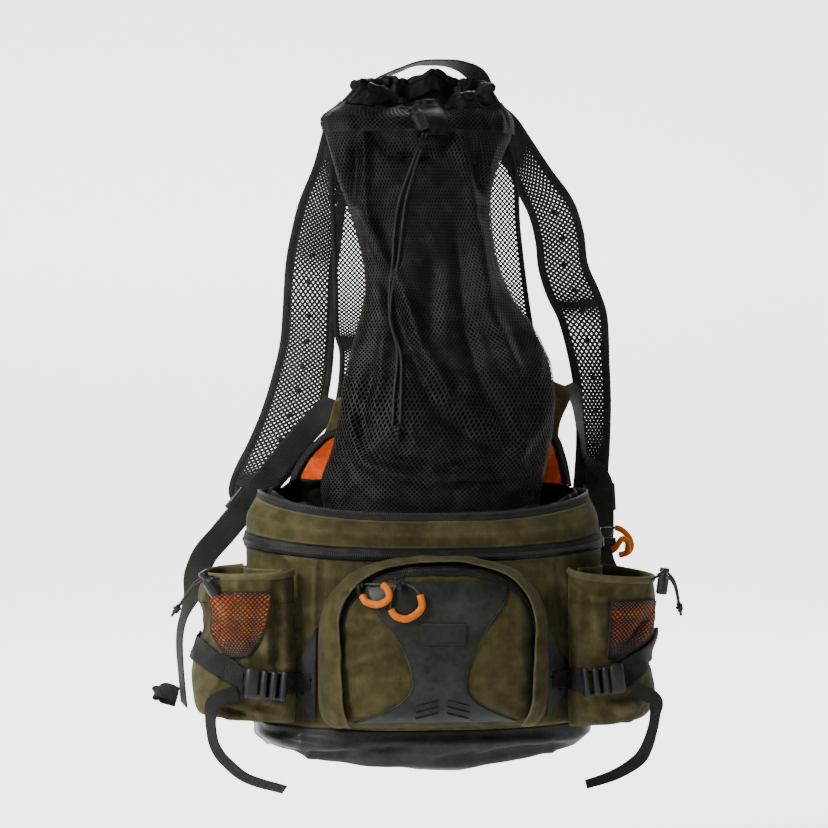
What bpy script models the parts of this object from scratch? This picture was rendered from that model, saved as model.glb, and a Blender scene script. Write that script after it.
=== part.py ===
"""Hip pack with a mesh game bag and a shoulder harness, as it hangs from its haul loop.

Metres, +Z up. The origin is the underside of the haul loop, where it hangs. The front of the pack
looks along -Y, the wearer is on the +Y side, and +X is the right-hand side of the picture.
"""

import math
from collections import namedtuple

import bmesh
import bpy
from mathutils import Matrix, Vector
from mathutils.bvhtree import BVHTree

# Driving dimensions
GAP = 0.0005          # air between pieces that touch
CANVAS = 0.0022       # waxed canvas wall
COATED = 0.0020       # coated fabric of the base and front panel
NYLON = 0.0014        # thin nylon and mesh cloth
NET = 0.0012          # knitted net
WEBBING = 0.0016      # woven strap
WEB_WIDTH = 0.025     # harness and compression straps
TAIL_WIDTH = 0.015    # loose strap ends
BODY_SIDES = 36       # points round the main compartment
BAG_SIDES = 22        # points round the game bag
SQUARENESS = 2.7      # superellipse power of the main compartment's plan
SIDES = {"left": -1, "right": 1}

# The main compartment, from the base up: height at the sides, half width, front and back edge,
# how much lower the front hangs, and how much lower the middle hangs
BodyRow = namedtuple("BodyRow", "z half_width front back sag bow")
BASE_ROWS = [
    BodyRow(-0.672, 0.118, -0.110, -0.020, 0.004, 0.012),
    BodyRow(-0.668, 0.150, -0.137, -0.007, 0.005, 0.012),
    BodyRow(-0.656, 0.164, -0.148, -0.001, 0.005, 0.008),
    BodyRow(-0.6415, 0.1660, -0.148, 0.000, 0.006, 0.002),
]
WALL_ROWS = [
    BodyRow(-0.6410, 0.166, -0.148, 0.000, 0.006, 0.002),
    BodyRow(-0.590, 0.169, -0.151, 0.000, 0.006, 0.0),
    BodyRow(-0.530, 0.171, -0.151, 0.000, 0.010, 0.0),
    BodyRow(-0.4745, 0.173, -0.152, 0.000, 0.013, 0.0),
]
BAND_ROWS = [
    BodyRow(-0.4740, 0.1745, -0.1535, 0.0010, 0.013, 0.0),
    BodyRow(-0.4615, 0.1740, -0.1530, 0.0010, 0.015, 0.0),
]
COLLAR_ROWS = [
    BodyRow(-0.4610, 0.172, -0.151, 0.000, 0.015, 0.0),
    BodyRow(-0.445, 0.169, -0.152, 0.000, 0.018, 0.0),
    BodyRow(-0.4285, 0.162, -0.148, 0.000, 0.021, 0.0),
]
RIM_ROWS = [
    BodyRow(-0.4277, 0.1618, -0.1478, -0.0002, 0.021, 0.0),
    BodyRow(-0.4222, 0.1590, -0.1450, -0.0015, 0.021, 0.0),
]

# The front pocket: an arched dome on the front wall
POCKET_CENTRE = -0.572
POCKET_HALF_WIDTH = 0.106
POCKET_TOP = 0.084        # centre to crown
POCKET_BOTTOM = 0.074     # centre to foot
POCKET_BULGE = 0.040
POCKET_FULLNESS = 4.5     # how far out the dome stays full
POCKET_RINGS = (0.50, 0.78, 0.92, 0.98, 1.0)
POCKET_SPOKES = 30

# The dark centre panel, from the top down: height and half width
PanelRow = namedtuple("PanelRow", "z half_width lift")
PANEL_ROWS = [
    PanelRow(-0.5050, 0.070, 0.0062),
    PanelRow(-0.5220, 0.065, 0.0058),
    PanelRow(-0.5450, 0.049, 0.0050),
    PanelRow(-0.5680, 0.035, 0.0045),
    PanelRow(-0.5900, 0.0275, 0.0045),
    PanelRow(-0.6060, 0.0270, 0.0045),
    PanelRow(-0.6180, 0.036, 0.0045),
    PanelRow(-0.6290, 0.054, 0.0045),
    PanelRow(-0.6390, 0.079, 0.0037),
]

# The storm flap over the pocket's zip: how far out it runs, and how far it stands off the dome
FlapRow = namedtuple("FlapRow", "reach top_reach lift")
FLAP_ROWS = [
    FlapRow(0.830, 0.920, 0.0080),
    FlapRow(0.890, 0.950, 0.0078),
    FlapRow(0.950, 0.980, 0.0055),
    FlapRow(0.997, 0.998, 0.0008),
]

# Side pocket, seen from above on the right-hand side, from the front corner round to the back
PlanPoint = namedtuple("PlanPoint", "x y")
SIDE_POCKET_PLAN = [
    PlanPoint(0.1310, -0.1430),
    PlanPoint(0.1400, -0.1570),
    PlanPoint(0.1620, -0.1640),
    PlanPoint(0.1880, -0.1620),
    PlanPoint(0.2080, -0.1480),
    PlanPoint(0.2200, -0.1220),
    PlanPoint(0.2220, -0.0920),
    PlanPoint(0.2140, -0.0620),
    PlanPoint(0.1980, -0.0430),
    PlanPoint(0.1740, -0.0400),
]
FIRST_HUG, LAST_HUG = -4, 2   # where its inner wall starts and ends, in points round the body
# From the floor up: height, fullness to the side and to the front against the plan, and how much
# lower the front corner hangs
PocketRow = namedtuple("PocketRow", "z wide full droop")
SIDE_POCKET_ROWS = {
    "left": [
        PocketRow(-0.6310, 0.70, 0.60, 0.0095),
        PocketRow(-0.6280, 0.97, 0.88, 0.0095),
        PocketRow(-0.6100, 1.06, 0.98, 0.0050),
        PocketRow(-0.5820, 1.04, 0.94, 0.0020),
        PocketRow(-0.5480, 0.84, 0.98, 0.0),
        PocketRow(-0.5200, 0.92, 1.02, 0.0),
        PocketRow(-0.4960, 0.85, 1.00, 0.0),
    ],
    "right": [
        PocketRow(-0.6390, 0.62, 0.60, 0.0080),
        PocketRow(-0.6355, 0.82, 0.88, 0.0080),
        PocketRow(-0.6180, 1.00, 0.98, 0.0040),
        PocketRow(-0.5820, 0.86, 0.94, 0.0020),
        PocketRow(-0.5550, 0.98, 0.98, 0.0),
        PocketRow(-0.5200, 0.98, 1.02, 0.0),
        PocketRow(-0.4960, 0.97, 1.00, 0.0),
    ],
}
BODY_HUG = 0.0008         # pocket wall to body wall
PLAN_STEPS = 2            # points between two plan points
# The net window in the pocket's front, from the top down
WindowRow = namedtuple("WindowRow", "z x_in x_out")
WINDOW_ROWS = {
    "left": [
        WindowRow(-0.5175, 0.155, 0.208),
        WindowRow(-0.5390, 0.158, 0.203),
        WindowRow(-0.5570, 0.166, 0.203),
        WindowRow(-0.5740, 0.175, 0.196),
    ],
    "right": [
        WindowRow(-0.5260, 0.1720, 0.214),
        WindowRow(-0.5450, 0.1690, 0.214),
        WindowRow(-0.5640, 0.1670, 0.205),
        WindowRow(-0.5810, 0.1655, 0.176),
    ],
}
# The compression strap over the pocket, from the back forward: middle line and height
StrapPoint = namedtuple("StrapPoint", "x y z")
SIDE_STRAP_POINTS = [
    StrapPoint(0.2200, -0.0600, -0.5690),
    StrapPoint(0.2260, -0.0850, -0.5690),
    StrapPoint(0.2260, -0.1120, -0.5700),
    StrapPoint(0.2170, -0.1360, -0.5750),
    StrapPoint(0.2010, -0.1550, -0.5860),
    StrapPoint(0.1812, -0.1680, -0.5990),
]
LADDER_LOCK_PLACE = StrapPoint(0.1605, 0.0, -0.6015)
AnchorRow = namedtuple("AnchorRow", "z x_in x_out")
ANCHOR_ROWS = [
    AnchorRow(-0.5540, 0.1125, 0.1140),
    AnchorRow(-0.5700, 0.1125, 0.1210),
    AnchorRow(-0.5850, 0.1125, 0.1275),
    AnchorRow(-0.6180, 0.1125, 0.1275),
    AnchorRow(-0.6390, 0.1125, 0.1150),
]

# The lid, folded open behind the bag, and its two corner wings: outlines seen from the front
OutlinePoint = namedtuple("OutlinePoint", "x z")
LID_OUTLINE = [
    OutlinePoint(-0.1240, -0.4212),
    OutlinePoint(-0.1160, -0.4010),
    OutlinePoint(-0.1000, -0.3800),
    OutlinePoint(-0.0750, -0.3660),
    OutlinePoint(0.0140, -0.3540),
    OutlinePoint(0.1050, -0.3650),
    OutlinePoint(0.1310, -0.3770),
    OutlinePoint(0.1470, -0.3960),
    OutlinePoint(0.1540, -0.4212),
]
LINING_INSET = 0.94
LINING_FOOT = ((0.0720, -0.4220), (0.0700, -0.4520), (-0.0680, -0.4520), (-0.0700, -0.4220))
WING_OUTLINES = {
    "left": [
        OutlinePoint(-0.0800, -0.3340),
        OutlinePoint(-0.0860, -0.3560),
        OutlinePoint(-0.0960, -0.3760),
        OutlinePoint(-0.1080, -0.3960),
        OutlinePoint(-0.0700, -0.4080),
        OutlinePoint(-0.0580, -0.3700),
        OutlinePoint(-0.0640, -0.3300),
    ],
    "right": [
        OutlinePoint(0.1370, -0.3140),
        OutlinePoint(0.1580, -0.3260),
        OutlinePoint(0.1470, -0.3570),
        OutlinePoint(0.1400, -0.3900),
        OutlinePoint(0.1100, -0.4000),
        OutlinePoint(0.1120, -0.3500),
        OutlinePoint(0.1180, -0.3180),
    ],
}
LINING_Y, LID_Y, WING_Y, BACK_NET_Y = -0.0092, -0.0078, -0.0048, -0.0014

# The game bag, from the floor up: left and right edge, front and back edge, fold depth
BagRow = namedtuple("BagRow", "z left right front back fold")
BAG_ROWS = [
    BagRow(-0.4720, -0.030, 0.075, -0.090, -0.040, 0.0),
    BagRow(-0.4680, -0.070, 0.095, -0.112, -0.022, 0.002),
    BagRow(-0.4500, -0.094, 0.113, -0.120, -0.015, 0.003),
    BagRow(-0.4150, -0.102, 0.121, -0.122, -0.0073, 0.005),
    BagRow(-0.3730, -0.090, 0.128, -0.117, -0.0073, 0.005),
    BagRow(-0.3104, -0.078, 0.131, -0.104, -0.012, 0.005),
    BagRow(-0.2749, -0.070, 0.119, -0.096, -0.011, 0.005),
    BagRow(-0.2260, -0.058, 0.090, -0.086, -0.010, 0.005),
    BagRow(-0.1768, -0.063, 0.075, -0.080, -0.009, 0.005),
    BagRow(-0.1200, -0.080, 0.076, -0.078, -0.008, 0.004),
    BagRow(-0.0700, -0.094, 0.095, -0.076, -0.006, 0.003),
]
COLLAR_BAG_ROWS = [
    BagRow(-0.0688, -0.0940, 0.0950, -0.0760, -0.0058, 0.003),
    BagRow(-0.0560, -0.0950, 0.0950, -0.0700, -0.0040, 0.004),
    BagRow(-0.0420, -0.0765, 0.0870, -0.0580, -0.0040, 0.005),
    BagRow(-0.0290, -0.0600, 0.0750, -0.0500, -0.0040, 0.006),
]
COLLAR_BACK_RISE = 0.010  # the mouth's back edge stands this much over its middle
COLLAR_GATHERS = 9

# Where the cloth is a flat run of rows, each row gives its two edges and its depth
EdgeRow = namedtuple("EdgeRow", "x_out z_out x_in z_in y")
STRAP_THICKNESS = 0.0045
STRAP_ROWS = {
    "left": [
        EdgeRow(-0.0900, -0.066, -0.060, -0.085, 0.0022),
        EdgeRow(-0.0990, -0.100, -0.065, -0.118, 0.0090),
        EdgeRow(-0.1125, -0.134, -0.068, -0.150, 0.024),
        EdgeRow(-0.1200, -0.165, -0.070, -0.178, 0.036),
        EdgeRow(-0.1250, -0.197, -0.0725, -0.205, 0.047),
        EdgeRow(-0.1275, -0.245, -0.0735, -0.245, 0.055),
        EdgeRow(-0.1305, -0.277, -0.0750, -0.285, 0.055),
        EdgeRow(-0.1392, -0.310, -0.0790, -0.318, 0.047),
        EdgeRow(-0.1500, -0.342, -0.0875, -0.352, 0.036),
        EdgeRow(-0.1638, -0.374, -0.1030, -0.386, 0.025),
        EdgeRow(-0.1790, -0.405, -0.1270, -0.415, 0.0200),
        EdgeRow(-0.1830, -0.424, -0.1480, -0.4335, 0.0185),
        EdgeRow(-0.1780, -0.436, -0.1570, -0.4395, 0.0180),
    ],
    "right": [
        EdgeRow(0.0850, -0.036, 0.0520, -0.050, 0.0020),
        EdgeRow(0.1040, -0.051, 0.0750, -0.075, 0.0050),
        EdgeRow(0.1190, -0.070, 0.0950, -0.098, 0.013),
        EdgeRow(0.1415, -0.100, 0.1080, -0.122, 0.021),
        EdgeRow(0.1670, -0.131, 0.1215, -0.146, 0.032),
        EdgeRow(0.1800, -0.163, 0.1300, -0.172, 0.043),
        EdgeRow(0.1859, -0.195, 0.1345, -0.200, 0.051),
        EdgeRow(0.2000, -0.225, 0.1440, -0.228, 0.055),
        EdgeRow(0.2070, -0.250, 0.1560, -0.252, 0.055),
        EdgeRow(0.2075, -0.293, 0.1670, -0.293, 0.052),
        EdgeRow(0.2067, -0.334, 0.1720, -0.334, 0.042),
        EdgeRow(0.2029, -0.374, 0.1710, -0.374, 0.028),
        EdgeRow(0.1995, -0.405, 0.1680, -0.405, 0.0200),
        EdgeRow(0.1985, -0.425, 0.1665, -0.428, 0.0195),
        EdgeRow(0.1930, -0.437, 0.1730, -0.440, 0.0190),
    ],
}

# Ribbons: points of the middle line, and how far the face is turned away from the front, in degrees
RibbonRow = namedtuple("RibbonRow", "x y z turn")
LOOP_ROWS = [
    RibbonRow(-0.0480, -0.0012, -0.0440, 20),
    RibbonRow(-0.0450, -0.0012, -0.0270, 50),
    RibbonRow(-0.0380, -0.0006, -0.0160, 76),
    RibbonRow(-0.0250, 0.0000, -0.0085, 82),
    RibbonRow(-0.0120, 0.0000, -0.0030, 84),
    RibbonRow(0.0000, 0.0000, 0.0016, 84),
    RibbonRow(0.0120, 0.0000, 0.0036, 82),
    RibbonRow(0.0340, 0.0000, 0.0036, 76),
    RibbonRow(0.0500, -0.0006, -0.0010, 60),
    RibbonRow(0.0640, -0.0010, -0.0100, 30),
    RibbonRow(0.0700, -0.0016, -0.0240, 8),
    RibbonRow(0.0710, -0.0016, -0.0440, 0),
]
HARNESS_WEB_ROWS = {
    "left": [
        RibbonRow(-0.0800, 0.0135, -0.3330, 50),
        RibbonRow(-0.0900, 0.0110, -0.3470, 22),
        RibbonRow(-0.1050, 0.0200, -0.3640, 0),
        RibbonRow(-0.1230, 0.0190, -0.3850, 0),
        RibbonRow(-0.1420, 0.0158, -0.4080, 0),
        RibbonRow(-0.1590, 0.0120, -0.4285, 0),
    ],
    "right": [
        RibbonRow(0.1560, 0.0110, -0.3190, 60),
        RibbonRow(0.1680, 0.0160, -0.3230, 25),
        RibbonRow(0.1810, 0.0240, -0.3430, 0),
        RibbonRow(0.1880, 0.0240, -0.3700, 0),
        RibbonRow(0.1893, 0.0185, -0.3950, 0),
        RibbonRow(0.1900, 0.0125, -0.4170, 0),
    ],
}
LOWER_WEB_ROWS = {
    "left": [
        RibbonRow(-0.1775, 0.0085, -0.4508, 0),
        RibbonRow(-0.1930, 0.0070, -0.4695, 0),
        RibbonRow(-0.2080, 0.0080, -0.4870, 0),
        RibbonRow(-0.2160, 0.0090, -0.5050, 10),
        RibbonRow(-0.2210, 0.0120, -0.5250, 45),
        RibbonRow(-0.2270, 0.0190, -0.5430, 72),
        RibbonRow(-0.2320, 0.0230, -0.5630, 78),
        RibbonRow(-0.2325, 0.0290, -0.5870, 80),
        RibbonRow(-0.2275, 0.0400, -0.6400, 80),
    ],
    "right": [
        RibbonRow(0.1910, 0.0090, -0.4470, 0),
        RibbonRow(0.1915, 0.0070, -0.4700, 0),
        RibbonRow(0.1920, 0.0080, -0.4950, 0),
        RibbonRow(0.2060, 0.0095, -0.5250, 15),
        RibbonRow(0.2210, 0.0140, -0.5500, 50),
        RibbonRow(0.2270, 0.0240, -0.5820, 74),
        RibbonRow(0.2290, 0.0320, -0.6120, 80),
    ],
}
TAIL_ROWS = {
    "left": [
        RibbonRow(-0.1870, -0.1715, -0.6090, 0),
        RibbonRow(-0.2000, -0.1710, -0.6130, 5),
        RibbonRow(-0.2100, -0.1660, -0.6190, 25),
        RibbonRow(-0.2120, -0.1600, -0.6310, 48),
        RibbonRow(-0.2110, -0.1540, -0.6463, 54),
        RibbonRow(-0.2070, -0.1490, -0.6615, 52),
        RibbonRow(-0.1965, -0.1440, -0.6767, 48),
        RibbonRow(-0.1750, -0.1380, -0.6937, 50),
        RibbonRow(-0.1400, -0.1340, -0.7052, 52),
    ],
    "right": [
        RibbonRow(0.1880, -0.1690, -0.6100, 0),
        RibbonRow(0.2010, -0.1690, -0.6140, 8),
        RibbonRow(0.2120, -0.1640, -0.6220, 35),
        RibbonRow(0.2130, -0.1580, -0.6340, 60),
        RibbonRow(0.2115, -0.1530, -0.6494, 64),
        RibbonRow(0.2075, -0.1480, -0.6660, 56),
        RibbonRow(0.1985, -0.1430, -0.6815, 50),
        RibbonRow(0.1750, -0.1380, -0.6960, 60),
        RibbonRow(0.1500, -0.1340, -0.7040, 66),
    ],
}
BELT_LOOP_ROWS = [
    RibbonRow(-0.2350, 0.0340, -0.6290, 0),
    RibbonRow(-0.2450, 0.0320, -0.6245, 8),
    RibbonRow(-0.2540, 0.0350, -0.6250, 60),
    RibbonRow(-0.2570, 0.0400, -0.6275, 90),
    RibbonRow(-0.2545, 0.0450, -0.6300, 120),
    RibbonRow(-0.2450, 0.0480, -0.6325, 172),
    RibbonRow(-0.2345, 0.0490, -0.6355, 180),
]

BACK_NET_ROWS = [
    EdgeRow(-0.0620, -0.0446, 0.0830, -0.0446, 0.0),
    EdgeRow(-0.0830, -0.100, 0.1020, -0.100, 0.0),
    EdgeRow(-0.0820, -0.160, 0.1060, -0.160, 0.0),
    EdgeRow(-0.0800, -0.220, 0.1130, -0.220, 0.0),
    EdgeRow(-0.0790, -0.265, 0.1200, -0.265, 0.0),
    EdgeRow(-0.0735, -0.292, 0.1250, -0.292, 0.0),
    EdgeRow(-0.0800, -0.345, 0.1300, -0.345, 0.0),
    EdgeRow(-0.1080, -0.4215, 0.1400, -0.4215, 0.0),
]

# The back pad, and the hip belt seen from above, from the pad round to the wearer's front
BACK_PAD_SIZE = (0.232, 0.011, 0.150)
BACK_PAD_CENTRE = (0.0, 0.0063, -0.560)
BeltRow = namedtuple("BeltRow", "x y half_height")
WING_ROWS = [
    BeltRow(0.1168, 0.0075, 0.048),
    BeltRow(0.1500, 0.0085, 0.047),
    BeltRow(0.1760, 0.0170, 0.046),
    BeltRow(0.1940, 0.0380, 0.044),
    BeltRow(0.2000, 0.0700, 0.040),
    BeltRow(0.1960, 0.1050, 0.033),
    BeltRow(0.1870, 0.1280, 0.024),
]
BELT_WEB_ROWS = [
    BeltRow(0.1867, 0.1287, 0.019),
    BeltRow(0.1700, 0.1560, 0.019),
    BeltRow(0.1380, 0.1860, 0.019),
    BeltRow(0.0930, 0.2080, 0.019),
    BeltRow(0.0316, 0.2160, 0.019),
]
BELT_HEIGHT = -0.585
WING_THICKNESS = 0.007
BUCKLE_SIZE = (0.062, 0.013, 0.046)
BUCKLE_CENTRE = (0.0, 0.2165, -0.585)
BUCKLE_AIR = {"left": 0.0020, "right": 0.0018}   # left between a strap adjuster and its two straps

# Turned pieces, from the bottom up: radius and height
LatheRow = namedtuple("LatheRow", "radius z")
CORD_LOCK_PROFILE = [
    LatheRow(0.0042, -0.0130), LatheRow(0.0056, -0.0115), LatheRow(0.0057, 0.0020),
    LatheRow(0.0038, 0.0045), LatheRow(0.0036, 0.0080), LatheRow(0.0050, 0.0095),
    LatheRow(0.0046, 0.0128),
]
BAG_LOCK_PROFILE = [
    LatheRow(0.0050, -0.0130), LatheRow(0.0064, -0.0110), LatheRow(0.0066, 0.0040),
    LatheRow(0.0046, 0.0070), LatheRow(0.0046, 0.0095), LatheRow(0.0058, 0.0105),
    LatheRow(0.0050, 0.0135),
]
KNOT_PROFILE = [
    LatheRow(0.0018, -0.0055), LatheRow(0.0042, -0.0030), LatheRow(0.0046, 0.0000),
    LatheRow(0.0042, 0.0030), LatheRow(0.0018, 0.0055),
]

# Cords and pulls
CORD_RADIUS = 0.0015
GRIP_RADIUS = 0.0034
PULL_RADIUS = 0.0010
CordPoint = namedtuple("CordPoint", "x y z")
# The drawcord's middle line on the front of the bag: x and z, its strands lie either side
DRAWCORD_LINE = [
    OutlinePoint(-0.0080, -0.1000),
    OutlinePoint(-0.0208, -0.1406),
    OutlinePoint(-0.0250, -0.1700),
    OutlinePoint(-0.0278, -0.1993),
    OutlinePoint(-0.0320, -0.2300),
    OutlinePoint(-0.0333, -0.2574),
    OutlinePoint(-0.0280, -0.2800),
    OutlinePoint(-0.0265, -0.2959),
    OutlinePoint(-0.0290, -0.3300),
    OutlinePoint(-0.0310, -0.3580),
]
PULL_CORDS = [
    [OutlinePoint(-0.0747, -0.5075), OutlinePoint(-0.0690, -0.5085), OutlinePoint(-0.0597, -0.5076),
     OutlinePoint(-0.0570, -0.5090)],
    [OutlinePoint(-0.0377, -0.5040), OutlinePoint(-0.0368, -0.5090), OutlinePoint(-0.0290, -0.5145),
     OutlinePoint(-0.0221, -0.5178)],
]
PULL_GRIPS = [
    [OutlinePoint(-0.0715, -0.5184), OutlinePoint(-0.0677, -0.5240), OutlinePoint(-0.0574, -0.5259),
     OutlinePoint(-0.0480, -0.5204), OutlinePoint(-0.0485, -0.5120), OutlinePoint(-0.0530, -0.5078)],
    [OutlinePoint(-0.0458, -0.5303), OutlinePoint(-0.0411, -0.5369), OutlinePoint(-0.0317, -0.5393),
     OutlinePoint(-0.0214, -0.5343), OutlinePoint(-0.0167, -0.5268), OutlinePoint(-0.0185, -0.5170)],
]
SIDE_PULL_GRIPS = [
    [CordPoint(0.1740, -0.055, -0.4665), CordPoint(0.1920, -0.058, -0.4610),
     CordPoint(0.2000, -0.061, -0.4680), CordPoint(0.2090, -0.063, -0.4790),
     CordPoint(0.2050, -0.064, -0.4845), CordPoint(0.1960, -0.063, -0.4770),
     CordPoint(0.1900, -0.062, -0.4720)],
    [CordPoint(0.1744, -0.070, -0.4790), CordPoint(0.1930, -0.072, -0.4870),
     CordPoint(0.2020, -0.073, -0.4880), CordPoint(0.2080, -0.072, -0.4800),
     CordPoint(0.2080, -0.070, -0.4715)],
]
# Where each side pocket's cord lock sits, and how far it leans
LockPlace = namedtuple("LockPlace", "x y z lean")
CORD_LOCKS = {
    "left": LockPlace(-0.2132, -0.1564, -0.5070, -30),
    "right": LockPlace(0.2235, -0.1445, -0.5085, 8),
}
BUNGEES = {
    "left": [
        CordPoint(-0.2040, -0.1515, -0.5020), CordPoint(-0.2165, -0.1500, -0.5040),
        CordPoint(-0.2280, -0.1420, -0.5120), CordPoint(-0.2400, -0.1320, -0.5290),
    ],
    "right": [
        CordPoint(0.2150, -0.1440, -0.5010), CordPoint(0.2260, -0.1390, -0.5030),
        CordPoint(0.2370, -0.1320, -0.5130), CordPoint(0.2430, -0.1240, -0.5310),
    ],
}

COLOURS = {
    "olive_canvas": ((0.075, 0.066, 0.031), 0.85),
    "coated_fabric": ((0.035, 0.036, 0.031), 0.45),
    "black_nylon": ((0.012, 0.012, 0.011), 0.7),
    "black_net": ((0.009, 0.009, 0.008), 0.8),
    "black_webbing": ((0.020, 0.020, 0.018), 0.75),
    "black_plastic": ((0.014, 0.014, 0.013), 0.4),
    "black_cord": ((0.018, 0.018, 0.017), 0.7),
    "orange_lining": ((0.65, 0.12, 0.012), 0.7),
    "orange_net": ((0.30, 0.10, 0.020), 0.75),
    "orange_rubber": ((0.82, 0.20, 0.015), 0.45),
    "zip_tape": ((0.030, 0.031, 0.031), 0.55),
}


def clear_scene():
    for obj in list(bpy.data.objects):
        bpy.data.objects.remove(obj, do_unlink=True)


def make_materials():
    for name, (colour, roughness) in COLOURS.items():
        material = bpy.data.materials.new(name)
        material.use_nodes = True
        shader = material.node_tree.nodes["Principled BSDF"]
        shader.inputs["Base Color"].default_value = (*colour, 1.0)
        shader.inputs["Roughness"].default_value = roughness
        shader.inputs["Metallic"].default_value = 0.0


def link(name, data, finish):
    obj = bpy.data.objects.new(name, data)
    bpy.context.scene.collection.objects.link(obj)
    data.materials.append(bpy.data.materials[finish])
    return obj


def add_mesh(name, bm, finish, smooth_angle=40):
    mesh = bpy.data.meshes.new(name)
    bm.to_mesh(mesh)
    bm.free()
    obj = link(name, mesh, finish)
    mesh.shade_smooth()
    mesh.set_sharp_from_angle(angle=math.radians(smooth_angle))
    return obj


def add_cloth(name, bm, finish, thickness, offset=-1.0):
    """A sheet given its thickness. Offset -1 grows it behind its face, 0 both ways."""
    obj = add_mesh(name, bm, finish)
    wall = obj.modifiers.new("Wall", "SOLIDIFY")
    wall.thickness = thickness
    wall.offset = offset
    return obj


def power(value, exponent):
    return math.copysign(abs(value) ** exponent, value)


def smooth_run(rows, pieces):
    """A Catmull-Rom run through the rows, with that many steps between two rows."""
    kind = type(rows[0])
    ends = [rows[0], *rows, rows[-1]]
    out = []
    for a, b, c, d in zip(ends, ends[1:], ends[2:], ends[3:]):
        for step in range(pieces):
            t = step / pieces
            out.append(kind(*(
                0.5 * (2 * q + (r - p) * t + (2 * p - 5 * q + 4 * r - s) * t * t
                       + (3 * q - p - 3 * r + s) * t ** 3)
                for p, q, r, s in zip(a, b, c, d)
            )))
    out.append(rows[-1])
    return out


def sheet(rows, closed=False, floor=False):
    """Faces between rows of points. Closed joins each row to a ring, floor fills the first one."""
    bm = bmesh.new()
    grid = [[bm.verts.new(point) for point in row] for row in rows]
    width = len(rows[0])
    for low, high in zip(grid, grid[1:]):
        for j in range(width if closed else width - 1):
            k = (j + 1) % width
            bm.faces.new((low[j], low[k], high[k], high[j]))
    if floor:
        bm.faces.new(list(reversed(grid[0])))
    return bm


class Surface:
    """The outer face of a sheet, which other pieces are laid on."""

    def __init__(self, bm):
        bm.normal_update()
        self.tree = BVHTree.FromBMesh(bm)

    def in_front(self, x, z, gap):
        """The point at x and z that lies gap in front of the surface."""
        hit = self.tree.ray_cast(Vector((x, -1.0, z)), Vector((0, 1, 0)))[0]
        return Vector((x, hit.y - gap, z))

    def laid(self, x, z, gap):
        """The surface's point seen at x and z from the front, moved gap out along its normal."""
        hit, normal, _, _ = self.tree.ray_cast(Vector((x, -1.0, z)), Vector((0, 1, 0)))
        return hit + normal * gap

    def depth(self, x, z):
        """How far forward the surface lies at x and z, or 0 where it has no face."""
        hit = self.tree.ray_cast(Vector((x, -1.0, z)), Vector((0, 1, 0)))[0]
        return hit.y if hit else 0.0

    def lifted(self, point, gap):
        """The nearest point of the surface, moved gap out along its normal."""
        place, normal, _, _ = self.tree.find_nearest(Vector(point))
        return place + normal * gap


def body_ring(row):
    half_depth = (row.back - row.front) / 2
    middle = (row.back + row.front) / 2
    points = []
    for i in range(BODY_SIDES):
        turn = 2 * math.pi * i / BODY_SIDES
        x = row.half_width * power(math.cos(turn), 2 / SQUARENESS)
        y = middle + half_depth * power(math.sin(turn), 2 / SQUARENESS)
        front = max(0.0, -math.sin(turn)) ** 1.5
        bow = row.bow * (1 - (x / row.half_width) ** 2)
        points.append(Vector((x, y, row.z - row.sag * front - bow)))
    return points


def make_body():
    """Base, wall, expansion band, collar and rim zip, each a ring that meets the next one."""
    base = sheet([body_ring(r) for r in BASE_ROWS], closed=True, floor=True)
    add_cloth("base_tub", base, "coated_fabric", COATED)
    wall = sheet([body_ring(r) for r in WALL_ROWS], closed=True)
    surface = Surface(wall)
    add_cloth("body_wall", wall, "olive_canvas", CANVAS)
    band = sheet([body_ring(r) for r in BAND_ROWS], closed=True)
    add_cloth("expansion_band", band, "zip_tape", COATED)
    collar = sheet([body_ring(r) for r in COLLAR_ROWS], closed=True)
    add_cloth("collar", collar, "olive_canvas", CANVAS)
    rim = sheet([body_ring(r) for r in RIM_ROWS], closed=True)
    add_cloth("rim_zip", rim, "zip_tape", COATED)
    return surface


def pocket_reach(x, z):
    """0 at the dome's centre and 1 on its outline."""
    up = z - POCKET_CENTRE
    tall, squareness = (POCKET_TOP, 2.8) if up > 0 else (POCKET_BOTTOM, 9.0)
    across = abs(x) / POCKET_HALF_WIDTH
    return (across ** squareness + (abs(up) / tall) ** squareness) ** (1 / squareness)


def pocket_point(body, reach, turn):
    """A point of the dome, from how far out it is and its direction round the centre."""
    across, up = math.cos(turn), math.sin(turn)
    scale = reach / pocket_reach(across, POCKET_CENTRE + up)
    x, z = across * scale, POCKET_CENTRE + up * scale
    bulge = POCKET_BULGE * (1 - min(1.0, reach) ** POCKET_FULLNESS) ** 0.55
    return body.in_front(x, z, GAP + 0.0008 + bulge)


def lifted_pocket_point(body, reach, turn, gap):
    """A point that lies gap off the dome, along the dome's normal."""
    point = pocket_point(body, reach, turn)
    outward = point - pocket_point(body, reach - 0.02, turn)
    around = pocket_point(body, reach, turn + 0.02) - pocket_point(body, reach, turn - 0.02)
    normal = around.cross(outward).normalized()
    if normal.y > 0:
        normal.negate()
    return point + normal * gap


def make_front_pocket(body):
    """The pocket's dome, whose back stays open onto the front wall."""
    turns = [2 * math.pi * i / POCKET_SPOKES for i in range(POCKET_SPOKES)]
    rings = [[pocket_point(body, r, t) for t in turns] for r in reversed(POCKET_RINGS)]
    bm = sheet(rings, closed=True)
    bm.verts.ensure_lookup_table()
    bm.faces.new(bm.verts[-POCKET_SPOKES:])
    bmesh.ops.recalc_face_normals(bm, faces=bm.faces)
    if sum((f.normal.y * f.calc_area() for f in bm.faces)) > 0:
        bmesh.ops.reverse_faces(bm, faces=bm.faces)
    surface = Surface(bm)
    add_cloth("front_pocket", bm, "olive_canvas", CANVAS)
    return surface


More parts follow.
